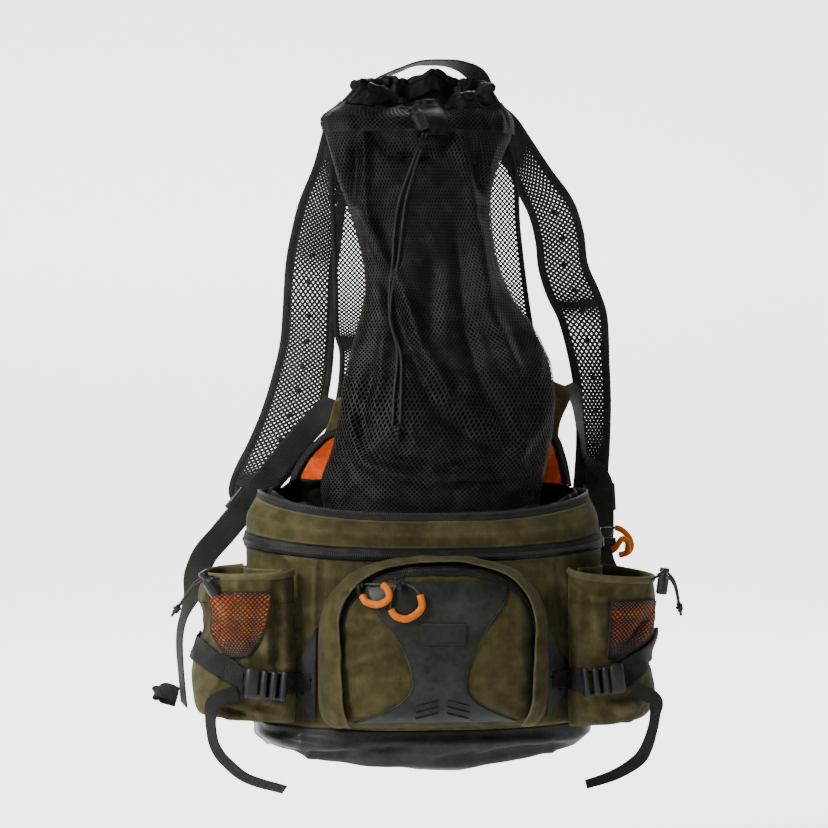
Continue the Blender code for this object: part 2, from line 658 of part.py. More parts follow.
def laid_grid(surface, rows, columns):
    """A sheet on a surface, from rows of height, left edge, right edge and lift."""
    return [
        [surface.laid(left + (right - left) * j / columns, z, lift) for j in range(columns + 1)]
        for z, left, right, lift in rows
    ]


def make_centre_panel(pocket):
    rows = [(r.z, -r.half_width, r.half_width, r.lift) for r in reversed(PANEL_ROWS)]
    bm = sheet(laid_grid(pocket, rows, 8))
    surface = Surface(bm)
    add_cloth("centre_panel", bm, "coated_fabric", NYLON)
    return surface


def make_front_patch(panel):
    """A bare rubber patch."""
    low, high, left, right = -0.5640, -0.5435, -0.018, 0.025
    rows = [(low + (high - low) * i / 2, left, right, GAP + 0.0018) for i in range(3)]
    bm = sheet(laid_grid(panel, rows, 4))
    add_cloth("front_patch", bm, "black_plastic", 0.0018)


def make_arch_flap(body):
    """The storm flap: a band that follows the pocket's outline and stands off its front."""
    foot = math.atan2(-POCKET_BOTTOM, POCKET_HALF_WIDTH * 0.985)
    turns = [math.pi - foot + (2 * foot - math.pi) * i / 22 for i in range(23)]
    rows = []
    for row in FLAP_ROWS:
        reach = [row.reach + (row.top_reach - row.reach) * max(0.0, math.sin(t)) for t in turns]
        lift = row.lift + CANVAS
        rows.append([lifted_pocket_point(body, r, t, lift) for r, t in zip(reach, turns)])
    add_cloth("arch_flap", sheet(rows), "olive_canvas", CANVAS)


def wall_ring(z):
    """The main compartment's wall at a height, as a ring of the same points as its faces."""
    for low, high in zip(WALL_ROWS, WALL_ROWS[1:]):
        if z <= high.z or high is WALL_ROWS[-1]:
            share = (z - low.z) / (high.z - low.z)
            return [a.lerp(b, share) for a, b in zip(body_ring(low), body_ring(high))]


def side_ring(row, side):
    """One ring of a side pocket: out along its plan, and back along the body's wall."""
    wall = wall_ring(row.z)
    hug = [wall[i % BODY_SIDES] for i in range(FIRST_HUG - 1, LAST_HUG + 2)]
    inner = []
    for j, (before, here, after) in enumerate(zip(hug, hug[1:], hug[2:])):
        outward = Vector((after.y - before.y, before.x - after.x, 0)).normalized()
        droop = row.droop * (1 - j / (len(hug) - 3))
        gap = BODY_HUG + 0.1 * row.droop
        inner.append(Vector((here.x, here.y, row.z - droop)) + outward * gap)
    plan = smooth_run(SIDE_POCKET_PLAN, PLAN_STEPS)
    outer = []
    for i, point in enumerate(plan):
        at = i / (len(plan) - 1) * (len(inner) - 1)
        k = min(int(at), len(inner) - 2)
        base = inner[k].lerp(inner[k + 1], at - k)
        base.z = row.z
        reach = Vector((point.x, point.y, row.z)) - base
        droop = row.droop * (1 - i / (len(plan) - 1))
        outer.append(base + Vector((reach.x * row.wide, reach.y * row.full, -droop)))
    ring = [Vector((side * p.x, p.y, p.z)) for p in outer + inner[::-1]]
    return ring if side > 0 else ring[::-1]


def make_side_pocket(name):
    side = SIDES[name]
    bm = sheet([side_ring(row, side) for row in SIDE_POCKET_ROWS[name]], closed=True, floor=True)
    surface = Surface(bm)
    add_cloth(f"side_pocket_{name}", bm, "olive_canvas", CANVAS)
    return surface


def make_pocket_net(name, pocket):
    """The net window: a sheet on the pocket's front."""
    side = SIDES[name]
    rows = [(r.z, side * r.x_in, side * r.x_out, 0.0034) for r in smooth_run(WINDOW_ROWS[name], 2)]
    rows[0] = (*rows[0][:3], 0.0022)
    bm = sheet(laid_grid(pocket, rows, 4))
    bmesh.ops.recalc_face_normals(bm, faces=bm.faces)
    add_cloth(f"pocket_net_{name}", bm, "orange_net", NET, offset=0.0)


def make_compression_strap(name, body, pocket):
    """The strap round a side pocket, its ladder lock and the panel that anchors it."""
    side = SIDES[name]
    points = smooth_run(SIDE_STRAP_POINTS, 2)
    rows = [
        [pocket.lifted((side * p.x, p.y, p.z + WEB_WIDTH * step), 0.0036 if i else 0.0013)
         for step in (-0.48, 0, 0.48)]
        for i, p in enumerate(points)
    ]
    add_cloth(f"side_strap_{name}", sheet(rows), "black_webbing", WEBBING, offset=0.0)

    front = rows[-1][1].y
    place = Vector((side * LADDER_LOCK_PLACE.x, front - 0.0020, LADDER_LOCK_PLACE.z))
    turn = Matrix.Rotation(math.radians(side * -3), 3, "Y")
    if side < 0:
        turn = turn @ Matrix.Rotation(math.pi, 3, "Y")
    make_ladder_lock(f"ladder_lock_{name}", place, turn)
    start = TAIL_ROWS[name][0]._replace(x=side * (LADDER_LOCK_PLACE.x + 0.0216), y=front - 0.0036)
    make_ribbon(f"strap_tail_{name}", [start, *TAIL_ROWS[name][1:]], TAIL_WIDTH)

    rows = [(r.z, side * r.x_in, side * r.x_out, 0.0014) for r in ANCHOR_ROWS]
    bm = sheet(laid_grid(body, rows, 2))
    add_cloth(f"anchor_panel_{name}", bm, "coated_fabric", NYLON, offset=0.0)


def flat_panel(name, outline, y, finish, thickness):
    """A flat piece of cloth in the XZ plane, its front face at y."""
    bm = bmesh.new()
    face = bm.faces.new([bm.verts.new((p.x, y, p.z)) for p in outline])
    face.normal_update()
    if face.normal.y > 0:
        face.normal_flip()
    add_cloth(name, bm, finish, thickness)


def make_lid():
    """The open lid, its orange lining and its two corner wings."""
    middle = OutlinePoint(0.014, -0.4212)
    inset = [
        OutlinePoint(*(m + (v - m) * LINING_INSET for v, m in zip(p, middle))) for p in LID_OUTLINE
    ]
    inset += [OutlinePoint(x, z) for x, z in LINING_FOOT]
    flat_panel("lid_lining", inset, LINING_Y, "orange_lining", 0.0008)
    flat_panel("lid", LID_OUTLINE, LID_Y, "olive_canvas", 0.0024)
    for name in SIDES:
        flat_panel(f"corner_wing_{name}", WING_OUTLINES[name], WING_Y, "olive_canvas", 0.0020)
    rows = [
        [Vector((x, BACK_NET_Y, row.z_out)) for x in (row.x_out, row.x_in)] for row in BACK_NET_ROWS
    ]
    add_cloth("back_net", sheet(rows), "black_net", NET, offset=0.0)


def make_belt():
    """The back pad, the padded wings, the waist webbing and its fastened buckle."""
    make_box("back_pad", BACK_PAD_SIZE, BACK_PAD_CENTRE, "black_nylon", 0.004)
    for name, side in SIDES.items():
        for piece, rows, thickness, finish in (
            ("belt_wing", WING_ROWS, WING_THICKNESS, "black_nylon"),
            ("belt_web", BELT_WEB_ROWS, WEBBING, "black_webbing"),
        ):
            line = [
                [Vector((side * r.x, r.y, BELT_HEIGHT + step * r.half_height)) for step in (-1, 0, 1)]
                for r in smooth_run(rows, 2)
            ]
            add_cloth(f"{piece}_{name}", sheet(line), finish, thickness, offset=0.0)
    make_box("belt_buckle", BUCKLE_SIZE, BUCKLE_CENTRE, "black_plastic", 0.003)


def make_pulls(surfaces):
    """The zip pulls: a cord and a soft grip each, in front of the pocket, and two at the side."""
    def front(p, radius, lift):
        spots = [(p.x + i * radius, p.z + j * radius) for i in (-1, 0, 1) for j in (-1, 0, 1)]
        depth = min(surface.depth(x, z) for surface in surfaces for x, z in spots)
        return Vector((p.x, depth - radius - lift, p.z))

    for i, (cord, grip) in enumerate(zip(PULL_CORDS, PULL_GRIPS), 1):
        for name, line, radius, lift, finish in (
            ("pull_cord", cord, PULL_RADIUS, 0.0029, "black_cord"),
            ("pull_grip", grip, GRIP_RADIUS, 0.0005, "orange_rubber"),
        ):
            points = [front(p, radius, lift) for p in smooth_run(line, 2)]
            make_cord(f"{name}_{i}", points, radius, finish)
    for i, grip in enumerate(SIDE_PULL_GRIPS, 1):
        make_cord(f"side_pull_grip_{i}", route(grip, 2), 0.0030, "orange_rubber")


def make_bag_cords(bag, collar):
    """The cord lock on the bag's collar and the two strands that hang from it to their knot."""
    lock = collar.in_front(-0.006, -0.0600, 0.0)
    lock.y = min(surface.depth(lock.x, lock.z + step) for surface in (bag, collar)
                 for step in (-0.014, 0, 0.014)) - 0.0074
    tilt = Matrix.Rotation(math.radians(-28), 4, "Y")
    turned("bag_cord_lock", BAG_LOCK_PROFILE, Matrix.Translation(lock) @ tilt, "black_plastic", 10)
    for name, side in SIDES.items():
        shift = side * 0.0019
        line = [lock + tilt @ Vector((0, 0, BAG_LOCK_PROFILE[0].z - 0.0024)) + Vector((shift, 0, 0))]
        line += [bag.in_front(p.x + shift, p.z, CORD_RADIUS + 0.0030) for p in DRAWCORD_LINE]
        make_cord(f"drawcord_{name}", line, CORD_RADIUS)
    end = DRAWCORD_LINE[-1]
    place = bag.in_front(end.x, end.z - 0.0061, 0.0052)
    turned("drawcord_knot", KNOT_PROFILE, Matrix.Translation(place), "black_cord", 6)


def make_bungees(side_pockets):
    """Each side pocket's elastic cord, its cord lock and its end knot."""
    for name, pocket in side_pockets.items():
        line = list(BUNGEES[name])
        line[0] = CordPoint(*pocket.laid(line[0].x, line[0].z, 0.0012))
        make_cord(f"bungee_{name}", route(line, 2), 0.0014)
        lock = CORD_LOCKS[name]
        tilt = Matrix.Rotation(math.radians(lock.lean), 4, "Y")
        place = Matrix.Translation(lock[:3]) @ tilt
        turned(f"cord_lock_{name}", CORD_LOCK_PROFILE, place, "black_plastic", 10)
        start, end = (Vector(p) for p in line[-2:])
        along = (end - start).normalized()
        spin = along.to_track_quat("Z", "X").to_matrix().to_4x4()
        place = Matrix.Translation(end + along * 0.0061) @ spin
        turned(f"bungee_knot_{name}", KNOT_PROFILE, place, "black_cord", 6)


def make_strap_buckles():
    """The adjusters between the shoulder straps' webbing and the lower webbing."""
    for name, side in SIDES.items():
        upper, lower = HARNESS_WEB_ROWS[name][-1], LOWER_WEB_ROWS[name][0]
        start, end = Vector(upper[:3]), Vector(lower[:3])
        along = (end - start).normalized()
        across = along.cross(Vector((0, 1, 0))).normalized()
        turn = Matrix((along, along.cross(across) * -1, across)).transposed()
        length = (end - start).length - BUCKLE_AIR[name]
        make_ladder_lock(f"strap_buckle_{name}", (start + end) / 2, turn, 0.032, length, 0.006)


def bag_ring(row, phase=0.0, gathers=0, gather_depth=0.0, rise=0.0):
    half_width, half_depth = (row.right - row.left) / 2, (row.back - row.front) / 2
    centre = Vector(((row.right + row.left) / 2, (row.back + row.front) / 2, row.z))
    points = []
    for i in range(BAG_SIDES):
        turn = 2 * math.pi * i / BAG_SIDES
        folds = (math.sin(3 * turn + phase) + 0.7 * math.sin(7 * turn - 0.6 * phase)) / 1.7
        inward = row.fold * (0.5 - 0.5 * folds) + gather_depth * math.cos(gathers * turn)
        x = (half_width - inward) * power(math.cos(turn), 0.85)
        y = (half_depth - min(inward, 0.3 * half_depth)) * power(math.sin(turn), 0.85)
        points.append(centre + Vector((x, y, rise * math.sin(turn))))
    return points


def make_game_bag():
    rows = [bag_ring(row, 14 * row.z) for row in BAG_ROWS]
    bm = sheet(rows, closed=True, floor=True)
    surface = Surface(bm)
    add_cloth("mesh_bag", bm, "black_net", NET)
    rings = []
    for i, row in enumerate(COLLAR_BAG_ROWS):
        share = i / (len(COLLAR_BAG_ROWS) - 1)
        depth, rise = 0.004 * share, COLLAR_BACK_RISE * share
        rings.append(bag_ring(row, 14 * BAG_ROWS[-1].z, COLLAR_GATHERS, depth, rise))
    collar = sheet(rings, closed=True)
    collar_surface = Surface(collar)
    add_cloth("bag_collar", collar, "black_nylon", NYLON)
    return surface, collar_surface


def make_shoulder_strap(name):
    """The bowed mesh strap, between its outer and inner edges."""
    bm = sheet([
        [Vector((row.x_out, row.y, row.z_out)), Vector((row.x_in, row.y, row.z_in))]
        for row in smooth_run(STRAP_ROWS[name], 2)
    ])
    add_cloth(f"shoulder_strap_{name}", bm, "black_net", STRAP_THICKNESS, offset=0.0)


def ribbon_rows(rows, width, steps=3):
    """Edge points of a strap along its middle line. A turn of 0 shows its face to the front."""
    line = smooth_run(rows, steps)
    out = []
    for i, row in enumerate(line):
        before, after = line[max(i - 1, 0)], line[min(i + 1, len(line) - 1)]
        along = Vector((after.x - before.x, after.y - before.y, after.z - before.z)).normalized()
        flat = along.cross(Vector((0, 1, 0)))
        flat = (flat if flat.length > 0.2 else Vector((0, 0, 1))).normalized()
        across = Matrix.Rotation(math.radians(row.turn), 3, along) @ flat
        centre = Vector((row.x, row.y, row.z))
        out.append([centre - across * width / 2, centre + across * width / 2])
    return out


def make_ribbon(name, rows, width, finish="black_webbing", thickness=WEBBING, steps=2):
    bm = sheet(ribbon_rows(rows, width, steps))
    return add_cloth(name, bm, finish, thickness, offset=0.0)


def make_box(name, size, centre, finish, bevel=0.0015, turn=None):
    """A moulded block with rounded edges."""
    bm = bmesh.new()
    bmesh.ops.create_cube(bm, size=1.0, matrix=Matrix.Diagonal((*size, 1.0)))
    bmesh.ops.bevel(
        bm, geom=bm.edges[:], offset=bevel, segments=2, profile=0.5, affect="EDGES", material=-1
    )
    place = Matrix.Translation(centre) @ (turn or Matrix.Identity(3)).to_4x4()
    bmesh.ops.transform(bm, matrix=place, verts=bm.verts)
    return add_mesh(name, bm, finish)


def make_ladder_lock(name, centre, turn, width=0.029, length=0.039, height=0.0065):
    """A ladder lock: a frame with two slots, its bars across the strap."""
    frame = make_box(name, (length, height, width), centre, "black_plastic", 0.0018, turn)
    cutter = bmesh.new()
    for offset, slot in ((-0.0055, 0.0042), (0.0040, 0.0040), (0.0125, 0.0030)):
        size = Matrix.Diagonal((slot, 4 * height, width - 0.0075, 1))
        place = Matrix.Translation((offset, 0, 0)) @ size
        bmesh.ops.create_cube(cutter, size=1.0, matrix=place)
    place = Matrix.Translation(centre) @ turn.to_4x4()
    bmesh.ops.transform(cutter, matrix=place, verts=cutter.verts)
    tool = add_mesh(f"{name}_slots", cutter, "black_plastic")
    tool.hide_render = True
    tool.display_type = "WIRE"
    cut = frame.modifiers.new("Slots", "BOOLEAN")
    cut.operation = "DIFFERENCE"
    cut.solver = "EXACT"
    cut.object = tool
    return frame


def turned(name, profile, place, finish, steps=14):
    """A body turned about its own Z axis from rows of radius and height, then placed."""
    turns = [2 * math.pi * i / steps for i in range(steps)]
    rings = [
        [Vector((radius * math.cos(t), radius * math.sin(t), height)) for t in turns]
        for radius, height in profile
    ]
    bm = sheet(rings, closed=True, floor=True)
    bm.verts.ensure_lookup_table()
    bm.faces.new(bm.verts[-steps:])
    bmesh.ops.transform(bm, matrix=place, verts=bm.verts)
    return add_mesh(name, bm, finish)


def make_cord(name, points, radius, finish="black_cord", sides=2):
    """A cord as a tube along the points."""
    curve = bpy.data.curves.new(name, "CURVE")
    curve.dimensions = "3D"
    curve.bevel_depth = radius
    curve.bevel_resolution = sides
    curve.use_fill_caps = True
    spline = curve.splines.new("POLY")
    spline.points.add(len(points) - 1)
    for target, point in zip(spline.points, points):
        target.co = (*point, 1.0)
    return link(name, curve, finish)


def route(points, steps):
    return [Vector(p) for p in smooth_run(points, steps)]


def main():
    clear_scene()
    make_materials()
    body = make_body()
    pocket = make_front_pocket(body)
    panel = make_centre_panel(pocket)
    make_front_patch(panel)
    make_arch_flap(body)
    side_pockets = {}
    for name in SIDES:
        side_pocket = side_pockets[name] = make_side_pocket(name)
        make_pocket_net(name, side_pocket)
        make_compression_strap(name, body, side_pocket)
        make_shoulder_strap(name)
        make_ribbon(f"harness_web_{name}", HARNESS_WEB_ROWS[name], WEB_WIDTH)
        make_ribbon(f"lower_web_{name}", LOWER_WEB_ROWS[name], WEB_WIDTH)
    bag, collar = make_game_bag()
    make_bag_cords(bag, collar)
    make_lid()
    make_strap_buckles()
    make_bungees(side_pockets)
    make_pulls((pocket, panel))
    make_belt()
    make_ribbon("haul_loop", LOOP_ROWS, 0.020)
    make_ribbon("belt_loop", BELT_LOOP_ROWS, TAIL_WIDTH)


main()
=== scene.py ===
"""The looks of a hip pack with a mesh game bag and a shoulder harness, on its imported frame.

Metres, +Z up, the front looks along -Y. A sheet's u runs to the picture's right and its v runs up,
so that its face points out.
"""
import bisect
import math
from collections import namedtuple

import bmesh
import bpy
from mathutils import Matrix, Vector, noise
from mathutils.bvhtree import BVHTree


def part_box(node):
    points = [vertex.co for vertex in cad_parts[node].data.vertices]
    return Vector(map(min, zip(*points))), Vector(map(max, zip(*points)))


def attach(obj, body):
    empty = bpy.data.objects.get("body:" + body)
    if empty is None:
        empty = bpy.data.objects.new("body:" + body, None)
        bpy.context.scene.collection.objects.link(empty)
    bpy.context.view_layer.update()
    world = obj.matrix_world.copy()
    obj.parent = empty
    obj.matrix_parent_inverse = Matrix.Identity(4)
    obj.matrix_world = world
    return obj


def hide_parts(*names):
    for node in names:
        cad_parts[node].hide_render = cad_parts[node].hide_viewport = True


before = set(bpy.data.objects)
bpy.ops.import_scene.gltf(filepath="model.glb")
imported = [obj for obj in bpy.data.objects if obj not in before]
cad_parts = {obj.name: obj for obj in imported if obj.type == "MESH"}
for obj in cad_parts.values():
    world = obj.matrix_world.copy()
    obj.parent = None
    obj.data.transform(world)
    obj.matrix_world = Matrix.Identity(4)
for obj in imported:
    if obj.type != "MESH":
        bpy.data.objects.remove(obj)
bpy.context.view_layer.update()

SIDES = {"left": -1, "right": 1}

# Driving sizes
WEB_WIDTH = 0.025
TAIL_WIDTH = 0.015
WEBBING = 0.0014
CANVAS = 0.0018
NYLON = 0.0009
THIN_CLOTH = 0.0012       # the coated panels and the lid's wings
CORD = 0.0015             # radius of the drawcord
BUNGEE = 0.0014           # radius of the pockets' elastic cord
TOOTH_PITCH = 0.0021
STITCH_PITCH = 0.0034
STITCH = (0.0022, 0.0006, 0.0005)
SQUARENESS = 2.7
PAPER_GLOW = 2.4          # how bright the paper behind the pack is
SKY_LIGHT = 0.15          # how much the sky lights the pack
SKY_SEEN = 0.62           # how bright it looks past the paper
CAMERA_TURN = -7.0        # degrees to the pack's left
CAMERA_DISTANCE = 3.0
PICTURE_WIDTH = 0.828     # metres across the picture at the pack
PICTURE_CENTRE = (0.0, 0.0, -0.348)

BASE_MIDDLE = (0, -0.065, -0.6865)
BASE_FLAT = 0.3           # the share of the base's sheet that lies below the pack
# How low and how high each ring of the main compartment reaches
BASE_SPAN = (-0.672, -0.641)
WALL_SPAN = (-0.641, -0.4745)
BAND_SPAN = (-0.475, -0.4606)
COLLAR_SPAN = (-0.4613, -0.4285)
RIM_SPAN = (-0.4288, -0.4222)

# How wide the threads of each net are
BAG_THREAD = 0.0013
WINDOW_THREAD = 0.0014
BACK_THREAD = 0.0018
BACKWARD = 0.25           # faces whose normal's y is above this are a bag's back, which is given the near-black painted shade
FOLD_TWIST = 14           # how far the bag's folds turn with height, in radians a metre


def table(kind, rows):
    return [kind(*row) for row in rows]


# Round lights: where each stands, what it points at, how wide and bright it is, its spread in degrees
Light = namedtuple("Light", "name place aim size energy spread")
LIGHTS = table(Light, [
    ("key", (-1.35, -1.05, 0.35), (-0.52, 0.05, -0.44), 0.8, 6.8, 50),
    ("fill", (0.2, -2.9, 0.3), (0, -0.05, -0.4), 1.6, 1.1, 180),
    ("top", (-0.6, -0.3, 1.9), (0, 0, -0.3), 1.2, 9, 180),
    ("behind", (0.7, 2.2, 2.2), (0, 0.1, -0.4), 1.2, 60, 180),
    ("right", (2.9, 1.2, 1.2), (0.1, 0.05, -0.4), 1.2, 22, 180),
])

# The main compartment from the base up, as in the frame
BodyRow = namedtuple("BodyRow", "z half_width front back sag bow")
BODY_ROWS = table(BodyRow, [
    (-0.672, 0.118, -0.11, -0.02, 0.004, 0.012), (-0.668, 0.15, -0.137, -0.007, 0.005, 0.012),
    (-0.656, 0.164, -0.148, -0.001, 0.005, 0.008), (-0.641, 0.166, -0.148, 0.0, 0.006, 0.002),
    (-0.59, 0.169, -0.151, 0.0, 0.006, 0.0), (-0.53, 0.171, -0.151, 0.0, 0.01, 0.0),
    (-0.4745, 0.173, -0.152, 0.0, 0.013, 0.0), (-0.461, 0.172, -0.151, 0.0, 0.015, 0.0),
    (-0.445, 0.169, -0.152, 0.0, 0.018, 0.0), (-0.4285, 0.162, -0.148, 0.0, 0.021, 0.0),
    (-0.4222, 0.159, -0.145, -0.0015, 0.021, 0.0),
])

# The front pocket: an arch, taller above its centre, with a square foot
POCKET_CENTRE = -0.572
POCKET_HALF_WIDTH = 0.106
POCKET_TOP = 0.084
POCKET_BOTTOM = 0.074
POCKET_BULGE = 0.04
POCKET_FULLNESS = 4.5
POCKET_FOOT = math.atan2(-POCKET_BOTTOM, POCKET_HALF_WIDTH * 0.985)
# The hourglass panel on it, from the foot up
PanelRow = namedtuple("PanelRow", "z half_width")
PANEL_ROWS = table(PanelRow, [
    (-0.639, 0.079), (-0.629, 0.054), (-0.618, 0.036), (-0.606, 0.027),
    (-0.59, 0.0275), (-0.568, 0.035), (-0.545, 0.049), (-0.522, 0.065),
    (-0.505, 0.07),
])
# The flap round it: reach is a share of the pocket's own, at the sides and at the crown
FlapRow = namedtuple("FlapRow", "reach top_reach lift")
FLAP_ROWS = table(FlapRow, [
    (0.998, 0.998, 0.001), (0.95, 0.98, 0.006), (0.89, 0.95, 0.0085), (0.815, 0.925, 0.008),
])

# A fold is a ridge, or a furrow where its height is negative, between two places seen from the front
Fold = namedtuple("Fold", "x1 z1 x2 z2 width height")
DOME_FOLDS = table(Fold, [
    (-0.098, -0.56, -0.04, -0.54, 0.007, -0.003), (-0.095, -0.585, -0.035, -0.566, 0.006, 0.0022),
    (-0.09, -0.632, -0.052, -0.6, 0.008, -0.0026), (0.045, -0.585, 0.098, -0.56, 0.008, -0.0026),
    (0.05, -0.61, 0.092, -0.636, 0.007, -0.0024), (0.075, -0.52, 0.08, -0.6, 0.006, 0.002),
    (-0.078, -0.51, -0.088, -0.6, 0.006, 0.0018),
])
WALL_FOLDS = table(Fold, [
    (-0.165, -0.48, -0.12, -0.5, 0.005, -0.0016),
    (-0.14, -0.47, -0.118, -0.54, 0.006, 0.0016),
    (0.12, -0.5, 0.15, -0.54, 0.006, 0.0018),
    (-0.1, -0.47, -0.06, -0.488, 0.005, -0.0014),
    (0.05, -0.475, 0.11, -0.492, 0.006, -0.0016),
    (0.118, -0.47, 0.14, -0.64, 0.004, -0.002),
    (-0.1067, -0.477, -0.1085, -0.56, 0.003, -0.0022),
    (-0.112, -0.477, -0.114, -0.56, 0.003, 0.0012),
])
RIM_DIP = {"left": 0.005, "right": 0.011}   # how far each side pocket's front lip hangs
POCKET_FOLDS = {
    "left": table(Fold, [
        (-0.2057, -0.6217, -0.1882, -0.6062, 0.0045, 0.006),
        (-0.1882, -0.6062, -0.16, -0.614, 0.0045, 0.005),
        (-0.2038, -0.6256, -0.1784, -0.6334, 0.0045, -0.005),
        (-0.175, -0.623, -0.145, -0.63, 0.004, -0.004),
        (-0.225, -0.572, -0.18, -0.592, 0.008, -0.004),
        (-0.19, -0.497, -0.185, -0.52, 0.004, 0.0025),
        (-0.163, -0.515, -0.16, -0.58, 0.005, 0.003),
        (-0.15, -0.5, -0.148, -0.6, 0.005, -0.0035),
        (-0.208, -0.51, -0.2, -0.56, 0.005, -0.003),
        (-0.195, -0.59, -0.21, -0.615, 0.004, -0.004),
    ]),
    "right": table(Fold, [
        (0.2003, -0.58, 0.1749, -0.595, 0.008, -0.004),
        (0.148, -0.5857, 0.15, -0.6226, 0.005, 0.0035),
        (0.1631, -0.6207, 0.1984, -0.6168, 0.005, -0.004),
        (0.1533, -0.5273, 0.156, -0.5818, 0.006, 0.003),
        (0.17, -0.505, 0.168, -0.58, 0.0045, -0.0025),
        (0.17, -0.632, 0.195, -0.627, 0.005, 0.004),
        (0.205, -0.54, 0.185, -0.57, 0.005, -0.0035),
        (0.145, -0.5, 0.143, -0.56, 0.005, -0.0025),
    ]),
}
BASE_FOLDS = table(Fold, [
    (-0.16, -0.655, -0.06, -0.668, 0.004, 0.002), (-0.14, -0.672, -0.02, -0.664, 0.0035, -0.0018),
    (-0.06, -0.662, 0.12, -0.66, 0.004, 0.0014), (0.0, -0.676, 0.14, -0.668, 0.0035, -0.0018),
])

# The game bag and its gathered collar, from the floor up, as in the frame
BagRow = namedtuple("BagRow", "z left right front back fold")
BAG_ROWS = table(BagRow, [
    (-0.472, -0.03, 0.075, -0.09, -0.04, 0.0), (-0.468, -0.07, 0.095, -0.112, -0.022, 0.002),
    (-0.45, -0.094, 0.113, -0.12, -0.015, 0.003), (-0.415, -0.102, 0.121, -0.122, -0.0073, 0.005),
    (-0.373, -0.09, 0.128, -0.117, -0.0073, 0.005), (-0.3104, -0.078, 0.131, -0.104, -0.012, 0.005),
    (-0.2749, -0.07, 0.119, -0.096, -0.011, 0.005), (-0.226, -0.058, 0.09, -0.086, -0.01, 0.005),
    (-0.1768, -0.063, 0.075, -0.08, -0.009, 0.005), (-0.12, -0.08, 0.076, -0.078, -0.008, 0.004),
    (-0.07, -0.094, 0.095, -0.076, -0.006, 0.003),
])
COLLAR_BAG_ROWS = table(BagRow, [
    (-0.072, -0.094, 0.095, -0.0765, -0.0058, 0.003), (-0.056, -0.095, 0.095, -0.07, -0.004, 0.004),
    (-0.042, -0.0765, 0.087, -0.058, -0.004, 0.005), (-0.027, -0.06, 0.075, -0.05, -0.004, 0.006),
    (-0.024, -0.056, 0.07, -0.046, -0.006, 0.006), (-0.029, -0.051, 0.064, -0.042, -0.01, 0.005),
    (-0.042, -0.053, 0.066, -0.043, -0.01, 0.004),
])
BAG_FOLDS = table(Fold, [
    (-0.0568, -0.0675, -0.0563, -0.1459, 0.0045, 0.006),
    (-0.0563, -0.1459, -0.0336, -0.2098, 0.005, 0.006),
    (-0.0656, -0.082, -0.0685, -0.1459, 0.0045, -0.006),
    (-0.0685, -0.1459, -0.0452, -0.2098, 0.005, -0.006),
    (-0.083, -0.0878, -0.0743, -0.1575, 0.005, 0.004),
    (-0.0539, -0.0704, -0.0336, -0.0936, 0.0032, -0.005),
    (-0.0336, -0.0936, -0.0075, -0.099, 0.0032, -0.006),
    (-0.0075, -0.099, 0.0187, -0.092, 0.0032, -0.006),
    (0.0187, -0.092, 0.0303, -0.07, 0.0032, -0.005),
    (-0.03, -0.083, 0.016, -0.083, 0.008, 0.005),
    (0.0332, -0.0646, 0.0462, -0.1198, 0.005, 0.006),
    (0.0462, -0.1198, 0.0506, -0.175, 0.0055, 0.005),
    (0.0506, -0.082, 0.0622, -0.1343, 0.0055, -0.007),
    (0.0099, -0.1808, 0.0041, -0.2853, 0.01, -0.0045),
    (-0.0394, -0.2156, -0.0162, -0.2853, 0.006, -0.0055),
    (-0.0162, -0.2853, 0.007, -0.3405, 0.006, -0.006),
    (0.007, -0.3405, 0.0448, -0.3724, 0.006, -0.006),
    (0.0448, -0.3724, 0.0825, -0.3869, 0.006, -0.005),
    (-0.0249, -0.2156, -0.0017, -0.2853, 0.006, 0.0045),
    (-0.0017, -0.2853, 0.0274, -0.3376, 0.007, 0.005),
    (0.0274, -0.3376, 0.068, -0.3666, 0.007, 0.005),
    (0.0332, -0.1575, 0.039, -0.2563, 0.007, -0.005),
    (0.039, -0.2563, 0.0535, -0.3231, 0.007, -0.006),
    (0.0535, -0.3231, 0.0854, -0.3724, 0.007, -0.0055),
    (0.0535, -0.1575, 0.0622, -0.2446, 0.007, 0.005),
    (0.0622, -0.2446, 0.0913, -0.3143, 0.008, 0.006),
    (-0.0743, -0.2853, -0.083, -0.3434, 0.006, 0.0045),
    (-0.076, -0.3434, -0.0597, -0.4015, 0.006, 0.005),
    (-0.0481, -0.2998, -0.0626, -0.3434, 0.006, -0.005),
    (-0.0626, -0.3434, -0.0626, -0.384, 0.006, -0.005),
    (-0.036, -0.26, -0.052, -0.35, 0.006, 0.004),
    (-0.0597, -0.3986, -0.0075, -0.4131, 0.0055, 0.0055),
    (-0.0075, -0.4131, 0.0767, -0.4073, 0.0055, 0.0055),
    (-0.0539, -0.3869, 0.0041, -0.4015, 0.005, -0.005),
    (0.0041, -0.4015, 0.0767, -0.3927, 0.005, -0.005),
    (0.085, -0.39, 0.12, -0.35, 0.007, 0.004),
])
# The collar's ruffles: direction round the mouth in degrees, how wide, how much higher, how far out
Lobe = namedtuple("Lobe", "turn width rise out")
COLLAR_LOBES = table(Lobe, [
    (178, 13, 0.001, 0.002), (205, 12, 0.006, 0.008), (224, 9, 0.002, 0.003),
    (240, 8, -0.008, -0.008), (257, 9, -0.012, -0.01), (270, 7, -0.008, 0.002),
    (284, 7, -0.014, -0.008), (300, 9, -0.003, 0.006), (318, 8, -0.006, -0.004),
    (336, 13, 0.003, 0.006), (80, 10, 0.008, -0.004), (104, 11, -0.003, -0.008),
    (60, 9, -0.002, -0.007), (30, 14, 0.0, -0.003), (140, 14, -0.001, -0.004),
])

